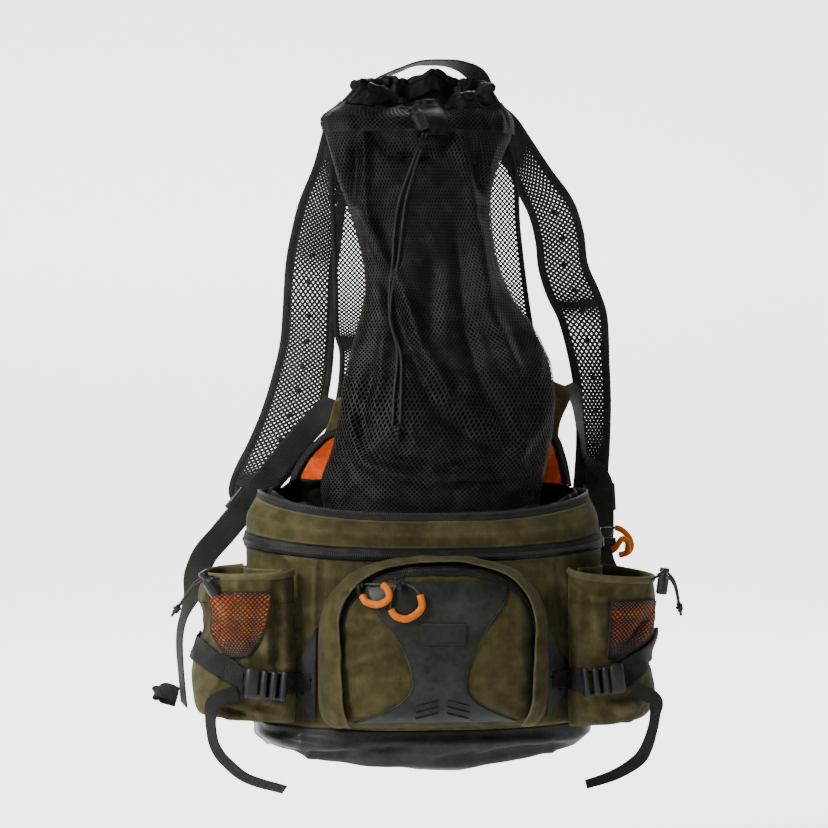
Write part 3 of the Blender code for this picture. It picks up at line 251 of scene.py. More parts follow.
# Shoulder straps: each row is a cut across, from the outer edge to the inner one, as in the frame
EdgeRow = namedtuple("EdgeRow", "x_out z_out x_in z_in y")
STRAP_ROWS = {
    "left": table(EdgeRow, [
        (-0.09, -0.066, -0.06, -0.085, 0.0022), (-0.099, -0.1, -0.065, -0.118, 0.009),
        (-0.1125, -0.134, -0.068, -0.15, 0.024), (-0.12, -0.165, -0.07, -0.178, 0.036),
        (-0.125, -0.197, -0.0725, -0.205, 0.047), (-0.1275, -0.245, -0.0735, -0.245, 0.055),
        (-0.1305, -0.277, -0.075, -0.285, 0.055), (-0.1392, -0.31, -0.079, -0.318, 0.047),
        (-0.15, -0.342, -0.0875, -0.352, 0.036), (-0.1638, -0.374, -0.103, -0.386, 0.025),
        (-0.179, -0.405, -0.127, -0.415, 0.02), (-0.183, -0.424, -0.148, -0.4335, 0.0185),
        (-0.178, -0.436, -0.157, -0.4395, 0.018),
    ]),
    "right": table(EdgeRow, [
        (0.085, -0.036, 0.052, -0.05, 0.002), (0.104, -0.051, 0.075, -0.075, 0.005),
        (0.119, -0.07, 0.095, -0.098, 0.013), (0.1415, -0.1, 0.108, -0.122, 0.021),
        (0.167, -0.131, 0.1215, -0.146, 0.032), (0.18, -0.163, 0.13, -0.172, 0.043),
        (0.1859, -0.195, 0.1345, -0.2, 0.051), (0.2, -0.225, 0.144, -0.228, 0.055),
        (0.207, -0.25, 0.156, -0.252, 0.055), (0.2075, -0.293, 0.167, -0.293, 0.052),
        (0.2067, -0.334, 0.172, -0.334, 0.042), (0.2029, -0.374, 0.171, -0.374, 0.028),
        (0.1995, -0.405, 0.168, -0.405, 0.02), (0.1985, -0.425, 0.1665, -0.428, 0.0195),
        (0.193, -0.437, 0.173, -0.44, 0.019),
    ]),
}
# Webbing: a middle line, and how far its width is turned round that line, in degrees
RibbonRow = namedtuple("RibbonRow", "x y z turn")
LOOP_ROWS = table(RibbonRow, [
    (-0.048, -0.0012, -0.044, 20), (-0.045, -0.0012, -0.027, 50), (-0.038, -0.0006, -0.016, 76),
    (-0.025, 0.0, -0.0085, 82), (-0.012, 0.0, -0.003, 84), (0.0, 0.0, 0.0016, 84),
    (0.012, 0.0, 0.0036, 82), (0.034, 0.0, 0.0036, 76), (0.05, -0.0006, -0.001, 60),
    (0.064, -0.001, -0.01, 30), (0.07, -0.0016, -0.024, 8), (0.071, -0.0016, -0.044, 0),
])
HARNESS_WEB_ROWS = {
    "left": table(RibbonRow, [
        (-0.08, 0.0135, -0.333, 50), (-0.09, 0.011, -0.347, 22), (-0.105, 0.02, -0.364, 0),
        (-0.123, 0.019, -0.385, 0), (-0.142, 0.0158, -0.408, 0), (-0.159, 0.012, -0.4285, 0),
    ]),
    "right": table(RibbonRow, [
        (0.156, 0.011, -0.319, 60), (0.164, 0.015, -0.325, 62), (0.17, 0.02, -0.343, 76),
        (0.1735, 0.021, -0.37, 78), (0.176, 0.017, -0.395, 70), (0.19, 0.0125, -0.417, 0),
    ]),
}
LOWER_WEB_ROWS = {
    "left": table(RibbonRow, [
        (-0.1775, 0.0085, -0.4508, 0), (-0.193, 0.007, -0.4695, 0), (-0.208, 0.008, -0.487, 0),
        (-0.216, 0.009, -0.505, 10), (-0.221, 0.012, -0.525, 45), (-0.227, 0.019, -0.543, 72),
        (-0.232, 0.023, -0.563, 78), (-0.2325, 0.029, -0.587, 80), (-0.2275, 0.04, -0.64, 80),
    ]),
    "right": table(RibbonRow, [
        (0.191, 0.009, -0.447, 0), (0.1915, 0.007, -0.47, 0), (0.192, 0.008, -0.495, 0),
        (0.206, 0.0095, -0.525, 15), (0.221, 0.014, -0.55, 50), (0.227, 0.024, -0.582, 74),
        (0.229, 0.032, -0.612, 80),
    ]),
}
TAIL_ROWS = {
    "left": table(RibbonRow, [
        (-0.187, -0.1715, -0.609, 0), (-0.2, -0.171, -0.613, 5), (-0.21, -0.166, -0.619, 25),
        (-0.212, -0.16, -0.631, 48), (-0.211, -0.154, -0.6463, 54), (-0.207, -0.149, -0.6615, 52),
        (-0.1965, -0.144, -0.6767, 48), (-0.175, -0.138, -0.6937, 50), (-0.14, -0.134, -0.7052, 52),
    ]),
    "right": table(RibbonRow, [
        (0.188, -0.169, -0.61, 0), (0.201, -0.169, -0.614, 8), (0.212, -0.164, -0.622, 35),
        (0.213, -0.158, -0.634, 60), (0.2115, -0.153, -0.6494, 64), (0.2075, -0.148, -0.666, 56),
        (0.1985, -0.143, -0.6815, 50), (0.175, -0.138, -0.696, 60), (0.15, -0.134, -0.704, 66),
    ]),
}
BELT_LOOP_ROWS = table(RibbonRow, [
    (-0.235, 0.034, -0.629, 0), (-0.245, 0.032, -0.6245, 8), (-0.254, 0.035, -0.625, 60),
    (-0.257, 0.04, -0.6275, 90), (-0.2545, 0.045, -0.63, 120), (-0.245, 0.048, -0.6325, 172),
    (-0.2345, 0.049, -0.6355, 180),
])
# The net against the wearer's back, from edge to edge
BACK_NET_ROWS = table(EdgeRow, [
    (-0.062, -0.0446, 0.083, -0.0446, 0.0), (-0.083, -0.1, 0.102, -0.1, 0.0),
    (-0.082, -0.16, 0.106, -0.16, 0.0), (-0.08, -0.22, 0.113, -0.22, 0.0),
    (-0.079, -0.265, 0.12, -0.265, 0.0), (-0.0735, -0.292, 0.125, -0.292, 0.0),
    (-0.08, -0.345, 0.13, -0.345, 0.0), (-0.108, -0.4215, 0.14, -0.4215, 0.0),
])

# Side pockets, their net windows, straps and cords, as in the frame
OUTSIDE = 0.7             # the share of a pocket's wall that shows, and the rest lies on the body
PlanPoint = namedtuple("PlanPoint", "x y")
SIDE_POCKET_PLAN = table(PlanPoint, [
    (0.131, -0.143), (0.14, -0.157), (0.162, -0.164), (0.188, -0.162),
    (0.208, -0.148), (0.22, -0.122), (0.222, -0.092), (0.214, -0.062),
    (0.198, -0.043), (0.174, -0.04),
])
# From the floor up: height, fullness to the side and to the front against the plan, and how much
# lower the front corner hangs
PocketRow = namedtuple("PocketRow", "z wide full droop")
SIDE_POCKET_ROWS = {
    "left": table(PocketRow, [
        (-0.631, 0.7, 0.6, 0.0095), (-0.628, 0.97, 0.88, 0.0095), (-0.61, 1.06, 0.98, 0.005),
        (-0.582, 1.04, 0.94, 0.002), (-0.548, 0.84, 0.98, 0.0), (-0.52, 0.92, 1.02, 0.0),
        (-0.496, 0.85, 1.0, 0.0),
    ]),
    "right": table(PocketRow, [
        (-0.639, 0.62, 0.6, 0.008), (-0.6355, 0.82, 0.88, 0.008), (-0.618, 1.0, 0.98, 0.004),
        (-0.582, 0.86, 0.94, 0.002), (-0.555, 0.98, 0.98, 0.0), (-0.52, 0.98, 1.02, 0.0),
        (-0.496, 0.97, 1.0, 0.0),
    ]),
}
# The net window in the pocket's front, from the top down
WindowRow = namedtuple("WindowRow", "z x_in x_out")
WINDOW_ROWS = {
    "left": table(WindowRow, [
        (-0.515, 0.157, 0.211), (-0.536, 0.159, 0.208), (-0.557, 0.164, 0.208), (-0.576, 0.176, 0.196),
    ]),
    "right": table(WindowRow, [
        (-0.526, 0.172, 0.214), (-0.545, 0.169, 0.214), (-0.564, 0.167, 0.205),
        (-0.581, 0.1655, 0.176),
    ]),
}
# The compression strap over the pocket, from the back forward: middle line and height
StrapPoint = namedtuple("StrapPoint", "x y z")
SIDE_STRAP_POINTS = table(StrapPoint, [
    (0.22, -0.06, -0.569), (0.226, -0.085, -0.569), (0.226, -0.112, -0.57),
    (0.217, -0.136, -0.575), (0.201, -0.155, -0.586), (0.1812, -0.168, -0.599),
])
# The coated panel that each compression strap is sewn to, and its two eyelets
AnchorRow = namedtuple("AnchorRow", "z x_in x_out")
ANCHOR_ROWS = table(AnchorRow, [
    (-0.55, 0.1105, 0.1115), (-0.57, 0.1105, 0.12), (-0.586, 0.1105, 0.13), (-0.602, 0.1105, 0.134),
    (-0.616, 0.1105, 0.129), (-0.639, 0.1105, 0.113),
])
ANCHOR_HOLES = ((0.1155, -0.6), (0.1225, -0.612))

# The lid, folded open behind the bag, and its two corner wings: outlines seen from the front
OutlinePoint = namedtuple("OutlinePoint", "x z")
LID_OUTLINE = table(OutlinePoint, [
    (-0.124, -0.4212), (-0.116, -0.401), (-0.1, -0.38), (-0.075, -0.366),
    (0.014, -0.354), (0.105, -0.365), (0.137, -0.368), (0.149, -0.392),
    (0.1548, -0.4212),
])
LID_FOOT = -0.4212
LID_MIDDLE = 0.014
LID_EDGE_Y = -0.0078
WING_OUTLINES = {
    "left": table(OutlinePoint, [
        (-0.08, -0.334), (-0.086, -0.356), (-0.096, -0.376), (-0.108, -0.396),
        (-0.07, -0.408), (-0.058, -0.37), (-0.064, -0.33),
    ]),
    "right": table(OutlinePoint, [
        (0.137, -0.314), (0.158, -0.326), (0.147, -0.357), (0.14, -0.39),
        (0.11, -0.4), (0.112, -0.35), (0.118, -0.318),
    ]),
}

CordPoint = namedtuple("CordPoint", "x y z")
# The back pad, and the hip belt seen from above, from the pad round to the wearer's front
BACK_PAD_SIZE = (0.232, 0.011, 0.15)
BACK_PAD_CENTRE = (0.0, 0.0063, -0.56)
BeltRow = namedtuple("BeltRow", "x y half_height")
WING_ROWS = table(BeltRow, [
    (0.1168, 0.0075, 0.048), (0.15, 0.0085, 0.047), (0.176, 0.017, 0.046), (0.194, 0.038, 0.044),
    (0.2, 0.07, 0.04), (0.196, 0.105, 0.033), (0.187, 0.128, 0.024),
])
BELT_WEB_ROWS = table(BeltRow, [
    (0.1867, 0.1287, 0.019), (0.17, 0.156, 0.019), (0.138, 0.186, 0.019), (0.093, 0.208, 0.019),
    (0.0316, 0.216, 0.019),
])
BELT_HEIGHT = -0.585
BUCKLE_CENTRE = (0.0, 0.2165, -0.585)

# Moulded pieces as blocks: how big, how far from the piece's centre, how far its edges are rounded
Block = namedtuple("Block", "size offset bevel")
BUCKLE_BLOCKS = table(Block, [
    ((0.034, 0.012, 0.046), (-0.013, 0, 0), 0.004),
    ((0.022, 0.01, 0.044), (0.019, 0, 0), 0.0036),
    ((0.03, 0.006, 0.007), (0.002, 0, 0.018), 0.0024),
    ((0.03, 0.006, 0.007), (0.002, 0, -0.018), 0.0024),
    ((0.03, 0.007, 0.016), (0.002, 0, 0), 0.0024),
])
# The ladder lock's cap, its bars across the webbing and its two rails
LOCK_BLOCKS = table(Block, [
    ((0.015, 0.01, 0.03), (0.0135, 0, 0), 0.0048),
    ((0.0068, 0.01, 0.027), (0.0024, -0.0004, 0), 0.0033),
    ((0.0068, 0.01, 0.027), (-0.0068, -0.0004, 0), 0.0033),
    ((0.0064, 0.0084, 0.029), (-0.0162, 0, 0), 0.0031),
    ((0.036, 0.005, 0.0036), (0, 0.001, 0.0122), 0.0016),
    ((0.036, 0.005, 0.0036), (0, 0.001, -0.0122), 0.0016),
])

# The drawcord's middle line on the front of the bag: x and z, its strands lie either side
DRAWCORD_LINE = table(OutlinePoint, [
    (-0.008, -0.1), (-0.0208, -0.1406), (-0.025, -0.17), (-0.0278, -0.1993),
    (-0.032, -0.23), (-0.0333, -0.2574), (-0.028, -0.28), (-0.0265, -0.2959),
    (-0.029, -0.33), (-0.031, -0.358),
])
# The front pocket's two zip sliders and the soft grips that hang from them
SLIDERS = table(OutlinePoint, [(-0.0747, -0.5075), (-0.0377, -0.504)])
PULL_GRIPS = [
    table(OutlinePoint, [
        (-0.0715, -0.5184), (-0.0677, -0.524), (-0.0574, -0.5259), (-0.048, -0.5204),
        (-0.0485, -0.512), (-0.053, -0.5078),
    ]),
    table(OutlinePoint, [
        (-0.0458, -0.5303), (-0.0411, -0.5369), (-0.0317, -0.5393), (-0.0214, -0.5343),
        (-0.0167, -0.5268), (-0.0185, -0.517),
    ]),
]
# The grips on the expansion band's sliders, each from its slider to its free end
SIDE_PULL_GRIPS = [
    table(CordPoint, [
        (0.174, -0.055, -0.4665), (0.19, -0.058, -0.46), (0.199, -0.06, -0.462),
        (0.206, -0.062, -0.469), (0.209, -0.063, -0.478), (0.205, -0.064, -0.485),
        (0.196, -0.063, -0.487),
    ]),
    table(CordPoint, [
        (0.1744, -0.07, -0.479), (0.187, -0.073, -0.483), (0.193, -0.074, -0.476),
        (0.1975, -0.073, -0.4705), (0.2035, -0.072, -0.474), (0.203, -0.07, -0.484),
    ]),
]
# Each side pocket's elastic cord, from the hem to its knot
BUNGEES = {
    "left": table(CordPoint, [
        (-0.204, -0.1515, -0.502), (-0.2165, -0.15, -0.504), (-0.228, -0.142, -0.512),
        (-0.24, -0.132, -0.529),
    ]),
    "right": table(CordPoint, [
        (0.215, -0.144, -0.501), (0.226, -0.139, -0.503), (0.237, -0.132, -0.513),
        (0.243, -0.124, -0.531),
    ]),
}


def power(value, exponent):
    return math.copysign(abs(value) ** exponent, value)


def along(rows, share):
    """A smooth run through the rows of a table, at a share of its length."""
    place = min(max(share, 0.0), 1.0) * (len(rows) - 1)
    i = min(int(place), len(rows) - 2)
    t = place - i
    a, b, c, d = rows[max(i - 1, 0)], rows[i], rows[i + 1], rows[min(i + 2, len(rows) - 1)]
    values = [
        0.5 * (2 * q + (r - p) * t + (2 * p - 5 * q + 4 * r - s) * t * t
               + (3 * q - p - 3 * r + s) * t ** 3)
        for p, q, r, s in zip(a, b, c, d)
    ]
    return type(b)(*values) if hasattr(b, "_fields") else Vector(values)


def run(rows, count):
    return [along(rows, i / count) for i in range(count + 1)]


def ruffle(point, size, seed=0.0):
    """Smooth noise from -1 to 1 with bumps about size across."""
    return noise.noise(Vector(point) / size + Vector((seed, 2.3 * seed, -seed)))


def crease(point, size, seed=0.0):
    """1 on thin wandering lines and 0 between them."""
    return max(0.0, 1 - 5 * abs(ruffle(point, size, seed)))


def folded(point, folds):
    """The height that a table of folds adds at a point."""
    total = 0.0
    for f in folds:
        dx, dz = f.x2 - f.x1, f.z2 - f.z1
        length = dx * dx + dz * dz
        t = ((point.x - f.x1) * dx + (point.z - f.z1) * dz) / length
        near = min(max(t, 0.0), 1.0)
        aside = math.hypot(point.x - f.x1 - near * dx, point.z - f.z1 - near * dz)
        if aside < 3 * f.width:
            fade = max(0.0, 1 - (2 * near - 1) ** 4) * 0.8 + 0.2
            total += f.height * fade * math.exp(-((aside / f.width) ** 2))
    return total


class Term:
    """A socket in a shader. Arithmetic on it adds Math nodes."""

    def __init__(self, finish, socket):
        self.finish = finish
        self.socket = socket

    def maths(self, operation, *values):
        return self.finish.node("ShaderNodeMath", {"operation": operation}, values)

    def __add__(self, other):
        return self.maths("ADD", self, other)

    def __radd__(self, other):
        return self.maths("ADD", other, self)

    def __sub__(self, other):
        return self.maths("SUBTRACT", self, other)

    def __rsub__(self, other):
        return self.maths("SUBTRACT", other, self)

    def __mul__(self, other):
        return self.maths("MULTIPLY", self, other)

    def __rmul__(self, other):
        return self.maths("MULTIPLY", other, self)

    def sine(self):
        return self.maths("SINE", self)

    def size(self):
        return self.maths("ABSOLUTE", self)

    def between(self, low, high):
        """0 below low, 1 above high and smooth between them."""
        return self.finish.node(
            "ShaderNodeMapRange", {"interpolation_type": "SMOOTHSTEP"},
            {"Value": self, "From Min": low, "From Max": high},
        )


class Nodes:
    """A tree of shader nodes, with one way to make them."""

    def __init__(self, tree):
        self.tree = tree

    def node(self, kind, settings=None, values=(), output=0):
        made = self.tree.nodes.new(kind)
        for key, value in (settings or {}).items():
            setattr(made, key, value)
        for key, value in values.items() if isinstance(values, dict) else enumerate(values):
            self.feed(made.inputs[key], value)
        return Term(self, made.outputs[output])

    def feed(self, socket, value):
        if isinstance(value, Term):
            self.tree.links.new(value.socket, socket)
        else:
            socket.default_value = value


class Finish(Nodes):
    """A material."""

    def __init__(self, name, colour, roughness):
        self.material = bpy.data.materials.new(name)
        self.material.use_nodes = True
        super().__init__(self.material.node_tree)
        self.shader = self.tree.nodes["Principled BSDF"]
        self.set("Base Color", (*colour, 1.0))
        self.set("Roughness", roughness)

    def set(self, name, value):
        self.feed(self.shader.inputs[name], value)

    def place(self):
        return self.node("ShaderNodeTexCoord", output="Object")

    def uv(self):
        """The piece's own map, in metres: across and along."""
        return self.axes(self.node("ShaderNodeUVMap", {"uv_map": "UVMap"}))

    def axes(self, spot):
        """The first two parts of a vector."""
        first = self.node("ShaderNodeSeparateXYZ", None, (spot,))
        return first, Term(self, first.socket.node.outputs[1])

    def noise(self, where, scale, detail=3.0, roughness=0.55, stretch=(1, 1, 1)):
        if stretch != (1, 1, 1):
            where = self.node("ShaderNodeVectorMath", {"operation": "MULTIPLY"}, (where, stretch))
        return self.node(
            "ShaderNodeTexNoise", None,
            {"Vector": where, "Scale": scale, "Detail": detail, "Roughness": roughness},
        )

    def mix(self, share, low, high):
        low, high = ((*c, 1.0) if isinstance(c, tuple) and len(c) == 3 else c for c in (low, high))
        return self.node("ShaderNodeMix", {"data_type": "RGBA"}, {0: share, 6: low, 7: high}, output=2)

    def bump(self, height, distance, strength=1.0):
        self.set("Normal", self.node(
            "ShaderNodeBump", None, {"Strength": strength, "Distance": distance, "Height": height},
        ))


def paler(colour, times, more=0.0):
    return tuple(min(1.0, times * c + more) for c in colour)


def canvas_finish(name, light, dark, rub):
    """Waxed cotton: mottled, and paler where its folds and edges are rubbed."""
    f = Finish(name, light, 0.8)
    spot = f.place()
    broad = f.noise(spot, 22, 4, 0.6)
    patchy = f.noise(spot, 75, 5, 0.65)
    weave = f.noise(spot, 1400, 1, 0.5)
    streak = f.noise(spot, 240, 3, 0.6, (1, 1, 0.25))
    worn = f.node("ShaderNodeNewGeometry", output="Pointiness").between(0.49, 0.56)
    shade = (broad * 0.62 + patchy * 0.38 + streak * 0.12).between(0.42, 0.72)
    cloth = f.mix(shade, dark, light)
    rubbed = worn * patchy * 1.2 + (patchy * streak).between(0.3, 0.46) * 0.14
    f.set("Base Color", f.mix(rubbed, cloth, rub))
    f.set("Roughness", 0.92 - shade * 0.16)
    f.bump(weave * 0.5 + patchy * 0.9 + streak * 0.5, 0.0008, 0.55)
    f.set("Sheen Weight", 0.04)
    f.set("Specular IOR Level", 0.12)
    return f.material


def coated_finish(name, light, dark):
    """Coated cloth with a fine grain, a dull gloss and pale creases."""
    f = Finish(name, light, 0.5)
    spot = f.place()
    broad = f.noise(spot, 28, 4, 0.6)
    fine = f.noise(spot, 160, 4, 0.6)
    grain = f.noise(spot, 1800, 1, 0.5)
    shade = (broad * 0.7 + fine * 0.4).between(0.38, 0.74)
    f.set("Base Color", f.mix(shade, dark, light))
    f.set("Roughness", 0.27 + broad * 0.26)
    f.bump(grain * 0.35 + fine * 0.9 + broad * 1.6, 0.0009, 0.5)
    f.set("Specular IOR Level", 0.3)
    return f.material


def nylon_finish(name, colour, roughness=0.6):
    """Thin plain nylon or netting yarn, paler and glossier in patches."""
    f = Finish(name, colour, roughness)
    spot = f.place()
    broad = f.noise(spot, 60, 4, 0.6)
    fine = f.noise(spot, 420, 3, 0.6)
    f.set("Base Color", f.mix(broad.between(0.4, 0.72), colour, paler(colour, 2.1, 0.004)))
    f.set("Roughness", roughness - 0.12 + broad * 0.26)
    f.bump(fine * 0.6 + broad * 1.2, 0.0007, 0.5)
    f.set("Specular IOR Level", 0.22)
    return f.material


def webbing_finish(name, colour):
    """Woven strap: ribs across it and a finer slanting twill."""
    f = Finish(name, colour, 0.7)
    across, length = f.uv()
    rib = (length * (2 * math.pi / 0.0017)).sine()
    twill = ((across + length * 0.6) * (2 * math.pi / 0.0026)).sine()
    spot = f.place()
    broad = f.noise(spot, 45, 3, 0.6)
    weave = rib * 0.5 + twill * 0.5
    f.set("Base Color", f.mix((broad + weave * 0.14).between(0.34, 0.8), colour, paler(colour, 2.3)))
    f.set("Roughness", 0.6 + broad * 0.25)
    f.bump(weave, 0.00035, 0.8)
    f.set("Specular IOR Level", 0.25)
    return f.material


def cord_finish(name, colour):
    """Braided cord: two crossing spirals on its own map."""
    f = Finish(name, colour, 0.7)
    around, length = f.uv()
    one = (around * 900 + length * 1500).sine()
    other = (around * 900 - length * 1500).sine()
    braid = one * other
    f.set("Base Color", f.mix(braid.between(-0.2, 0.9), colour, paler(colour, 3.2)))
    f.set("Roughness", 0.62 + braid * 0.08)
    f.bump(braid, 0.0003, 0.8)
    return f.material


def plastic_finish(name, colour, roughness=0.42):
    """Moulded plastic with a fine spark-worn grain and handling marks."""
    f = Finish(name, colour, roughness)
    spot = f.place()
    marks = f.noise(spot, 190, 4, 0.65)
    grain = f.noise(spot, 2600, 1, 0.5)
    f.set("Base Color", f.mix(marks.between(0.42, 0.72), colour, paler(colour, 1.6, 0.002)))
    f.set("Roughness", roughness - 0.1 + marks * 0.24)
    f.bump(grain * 0.5 + marks * 0.5, 0.0002, 0.5)
    return f.material


def metal_finish(name, colour, roughness=0.3):
    """Blackened zip metal, bright where it is rubbed."""
    f = Finish(name, colour, roughness)
    spot = f.place()
    marks = f.noise(spot, 320, 4, 0.7)
    f.set("Metallic", 0.9)
    f.set("Base Color", f.mix(marks.between(0.4, 0.66), colour, paler(colour, 2.5)))
    f.set("Roughness", roughness - 0.06 + marks * 0.2)
    return f.material


# Each finish: the slot it goes into, what makes it, and its colours and roughness
FINISH_TABLE = {
    "olive": ("olive_canvas", canvas_finish,
              (0.078, 0.067, 0.025), (0.036, 0.03, 0.0105), (0.135, 0.121, 0.06)),
    "dark_olive": ("olive_canvas", canvas_finish,
                   (0.03, 0.026, 0.01), (0.02, 0.017, 0.006), (0.05, 0.044, 0.02)),
    "coated": ("coated_fabric", coated_finish, (0.034, 0.037, 0.03), (0.014, 0.0155, 0.012)),
    "tape": ("zip_tape", webbing_finish, (0.012, 0.012, 0.011)),
    "band": ("zip_tape", nylon_finish, (0.0105, 0.011, 0.009), 0.62),
    "lining": ("orange_lining", nylon_finish, (0.52, 0.052, 0.001), 0.6),
    "net": ("black_net", nylon_finish, (0.008, 0.008, 0.006), 0.6),
    "net_backing": ("orange_net", nylon_finish, (0.78, 0.13, 0.001), 0.8),
    "bag_thread": ("black_net", nylon_finish, (0.0092, 0.0092, 0.0072), 0.55),
    # Painted shade: this near-black finish stands for the dark inside the bag, behind the collar's foot and
    # under the ladder locks.
    "shade": ("black_net", nylon_finish, (0.0022, 0.0022, 0.0019), 0.85),
    "nylon": ("black_nylon", nylon_finish, (0.003, 0.0031, 0.0026), 0.5),
    "webbing": ("black_webbing", webbing_finish, (0.0088, 0.0092, 0.0078)),
    "cord": ("black_cord", cord_finish, (0.009, 0.009, 0.0085)),
    "pull_cord": ("black_cord", cord_finish, (0.03, 0.03, 0.025)),
    "thread": ("olive_canvas", nylon_finish, (0.045, 0.042, 0.028), 0.7),
    "dark_thread": ("black_cord", nylon_finish, (0.01, 0.01, 0.009), 0.7),
    "plastic": ("black_plastic", plastic_finish, (0.01, 0.01, 0.0095)),
    "rubber": ("orange_rubber", plastic_finish, (0.66, 0.15, 0.0), 0.8),
    "teeth": ("zip_tape", plastic_finish, (0.028, 0.028, 0.025), 0.4),
    "metal": ("black_plastic", metal_finish, (0.03, 0.03, 0.03)),
}
FINISHES = {name: make(name, *values) for name, (_, make, *values) in FINISH_TABLE.items()}
KEPT = {"strap_buckle": "plastic", "bag_cord_lock": "plastic", "cord_lock": "plastic"}


def finished(name, bm, finish, replaces=(), smooth=50, thickness=0.0, offset=-1.0):
    """An object from a mesh, riding on the pack's one body, with its finish and its wall."""
    mesh = bpy.data.meshes.new(name)
    bm.to_mesh(mesh)
    bm.free()
    obj = bpy.data.objects.new(name, mesh)
    bpy.context.scene.collection.objects.link(obj)
    mesh.materials.append(FINISHES[finish])
    mesh.shade_smooth()
    if smooth < 180:
        mesh.set_sharp_from_angle(angle=math.radians(smooth))
    if thickness:
        wall = obj.modifiers.new("Wall", "SOLIDIFY")
        wall.thickness = thickness
        wall.offset = offset
    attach(obj, "root")
    if replaces:
        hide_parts(*replaces)
    return obj


def face_out(bm):
    bmesh.ops.recalc_face_normals(bm, faces=bm.faces)


def weld(bm, gap=1e-5):
    bmesh.ops.remove_doubles(bm, verts=bm.verts, dist=gap)


def trim(bm, gone):
    """Removes the faces for which gone(face) is true."""
    bmesh.ops.delete(bm, geom=[f for f in bm.faces if gone(f)], context="FACES")


def evened(bm, times, inner=False):
    """Evens out how far forward a sheet lies, or only its part inside its edge."""
    for _ in range(times):
        verts = [v for v in bm.verts if not (inner and v.is_boundary)]
        bmesh.ops.smooth_vert(bm, verts=verts, factor=0.5, use_axis_y=True)


def grid(columns, rows, place, closed=False, span=(1.0, 1.0)):
    """A sheet of quads whose points place(u, v) sets, with a map of span metres."""
    bm = bmesh.new()
    layer = bm.loops.layers.uv.new("UVMap")
    bmesh.ops.create_grid(bm, x_segments=columns, y_segments=rows, size=0.5)
    for face in bm.faces:
        for loop in face.loops:
            spot = loop.vert.co
            loop[layer].uv = ((spot.x + 0.5) * span[0], (spot.y + 0.5) * span[1])
    for vert in bm.verts:
        vert.co = place(vert.co.x + 0.5, vert.co.y + 0.5)
    if closed:
        weld(bm, 1e-6)
    return bm


def relieved(surface, relief, step=0.002):
    """A surface whose points are moved out along its normal by relief(point, u, v)."""
    def place(u, v):
        point = surface(u, v)
        du = surface(u + step, v) - surface(u - step, v)
        dv = surface(u, min(1.0, v + step)) - surface(u, max(0.0, v - step))
        return point + du.cross(dv).normalized() * relief(point, u, v)
    return place


class Ground:
    """A mesh that other pieces are laid on."""

    def __init__(self, *bms):
        self.trees = []
        for bm in bms:
            bm.normal_update()
            self.trees.append(BVHTree.FromBMesh(bm))

    def hit(self, x, z):
        """The foremost point at x and z, and its normal."""
        best = None
        for tree in self.trees:
            point, normal, _, _ = tree.ray_cast(Vector((x, -1.0, z)), Vector((0, 1, 0)))
            if point is not None and (best is None or point.y < best[0].y):
                best = (point, normal)
        return best

    def laid(self, x, z, gap):
        point, normal = self.hit(x, z)
        return point + normal * gap

    def in_front(self, x, z, gap):
        return self.hit(x, z)[0] - Vector((0, gap, 0))

    def lifted(self, point, gap):
        place, normal, _, _ = min(
            (tree.find_nearest(Vector(point)) for tree in self.trees), key=lambda found: found[3]
        )
        return place + normal * gap


def length_of(points):
    return sum((b - a).length for a, b in zip(points, points[1:]))


def tube(points, radius, sides=10, flat=1.0, normal=None, cap=True):
    """A tube along points. flat squeezes it, and normal then gives its wide direction at each point."""
    points = [Vector(p) for p in points]
    last = len(points) - 1
    frames = []
    aside = None
    for i, point in enumerate(points):
        way = (points[min(i + 1, last)] - points[max(i - 1, 0)]).normalized()
        if normal is not None:
            aside = normal[i] - way * normal[i].dot(way)
        elif aside is None:
            aside = way.orthogonal()
        else:
            aside = aside - way * aside.dot(way)
        aside.normalize()
        frames.append((point, aside, way.cross(aside)))
    length = length_of(points)

    def place(u, v):
        at = v * last
        i = min(int(at + 1e-6), last - 1)
        t = at - i
        centre, one, two = (p.lerp(q, t) for p, q in zip(frames[i], frames[i + 1]))
        turn = 2 * math.pi * u
        return centre + one * (radius * math.cos(turn)) + two * (radius * flat * math.sin(turn))

    bm = grid(sides, last, place, closed=True, span=(2 * math.pi * radius, length))
    if cap:
        bmesh.ops.holes_fill(bm, edges=[e for e in bm.edges if e.is_boundary], sides=sides)
    face_out(bm)
    return bm


def rounded(points, times):
    """A line whose corners are rounded off, with its ends left in place."""
    for _ in range(times):
        inner = [(a + 2 * b + c) / 4 for a, b, c in zip(points, points[1:], points[2:])]
        points = [points[0], *inner, points[-1]]
    return points


def beads(path, pitch, size, lift=0.0):
    """Small blocks along a path of (point, normal), as zip teeth and stitches are."""
    bm = bmesh.new()
    gone = 0.0
    for (a, na), (b, nb) in zip(path, path[1:]):
        span = (b - a).length
        while gone <= span and span > 1e-9:
            t = gone / span
            normal = na.lerp(nb, t).normalized()
            way = (b - a).normalized()
            aside = normal.cross(way).normalized()
            centre = a.lerp(b, t) + normal * lift
            turn = Matrix((way, aside, way.cross(aside))).transposed().to_4x4()
            place = Matrix.Translation(centre) @ turn @ Matrix.Diagonal((*size, 1.0))
            bmesh.ops.create_cube(bm, size=1.0, matrix=place)
            gone += pitch
        gone -= span
    face_out(bm)
    return bm


def stitched(name, path, finish="dark_thread", size=STITCH, pitch=STITCH_PITCH, lift=0.0):
    finished(name, beads(path, pitch, size, lift), finish)


def toothed(name, path, size, lift=0.0):
    finished(name, beads(path, TOOTH_PITCH, size, lift), "teeth")


def balls(spots, size):
    """Small flattened balls, as one mesh."""
    bm = bmesh.new()
    for spot in spots:
        place = Matrix.Translation(spot) @ Matrix.Diagonal((*size, 1.0))
        bmesh.ops.create_icosphere(bm, subdivisions=2, radius=1.0, matrix=place)
    return bm


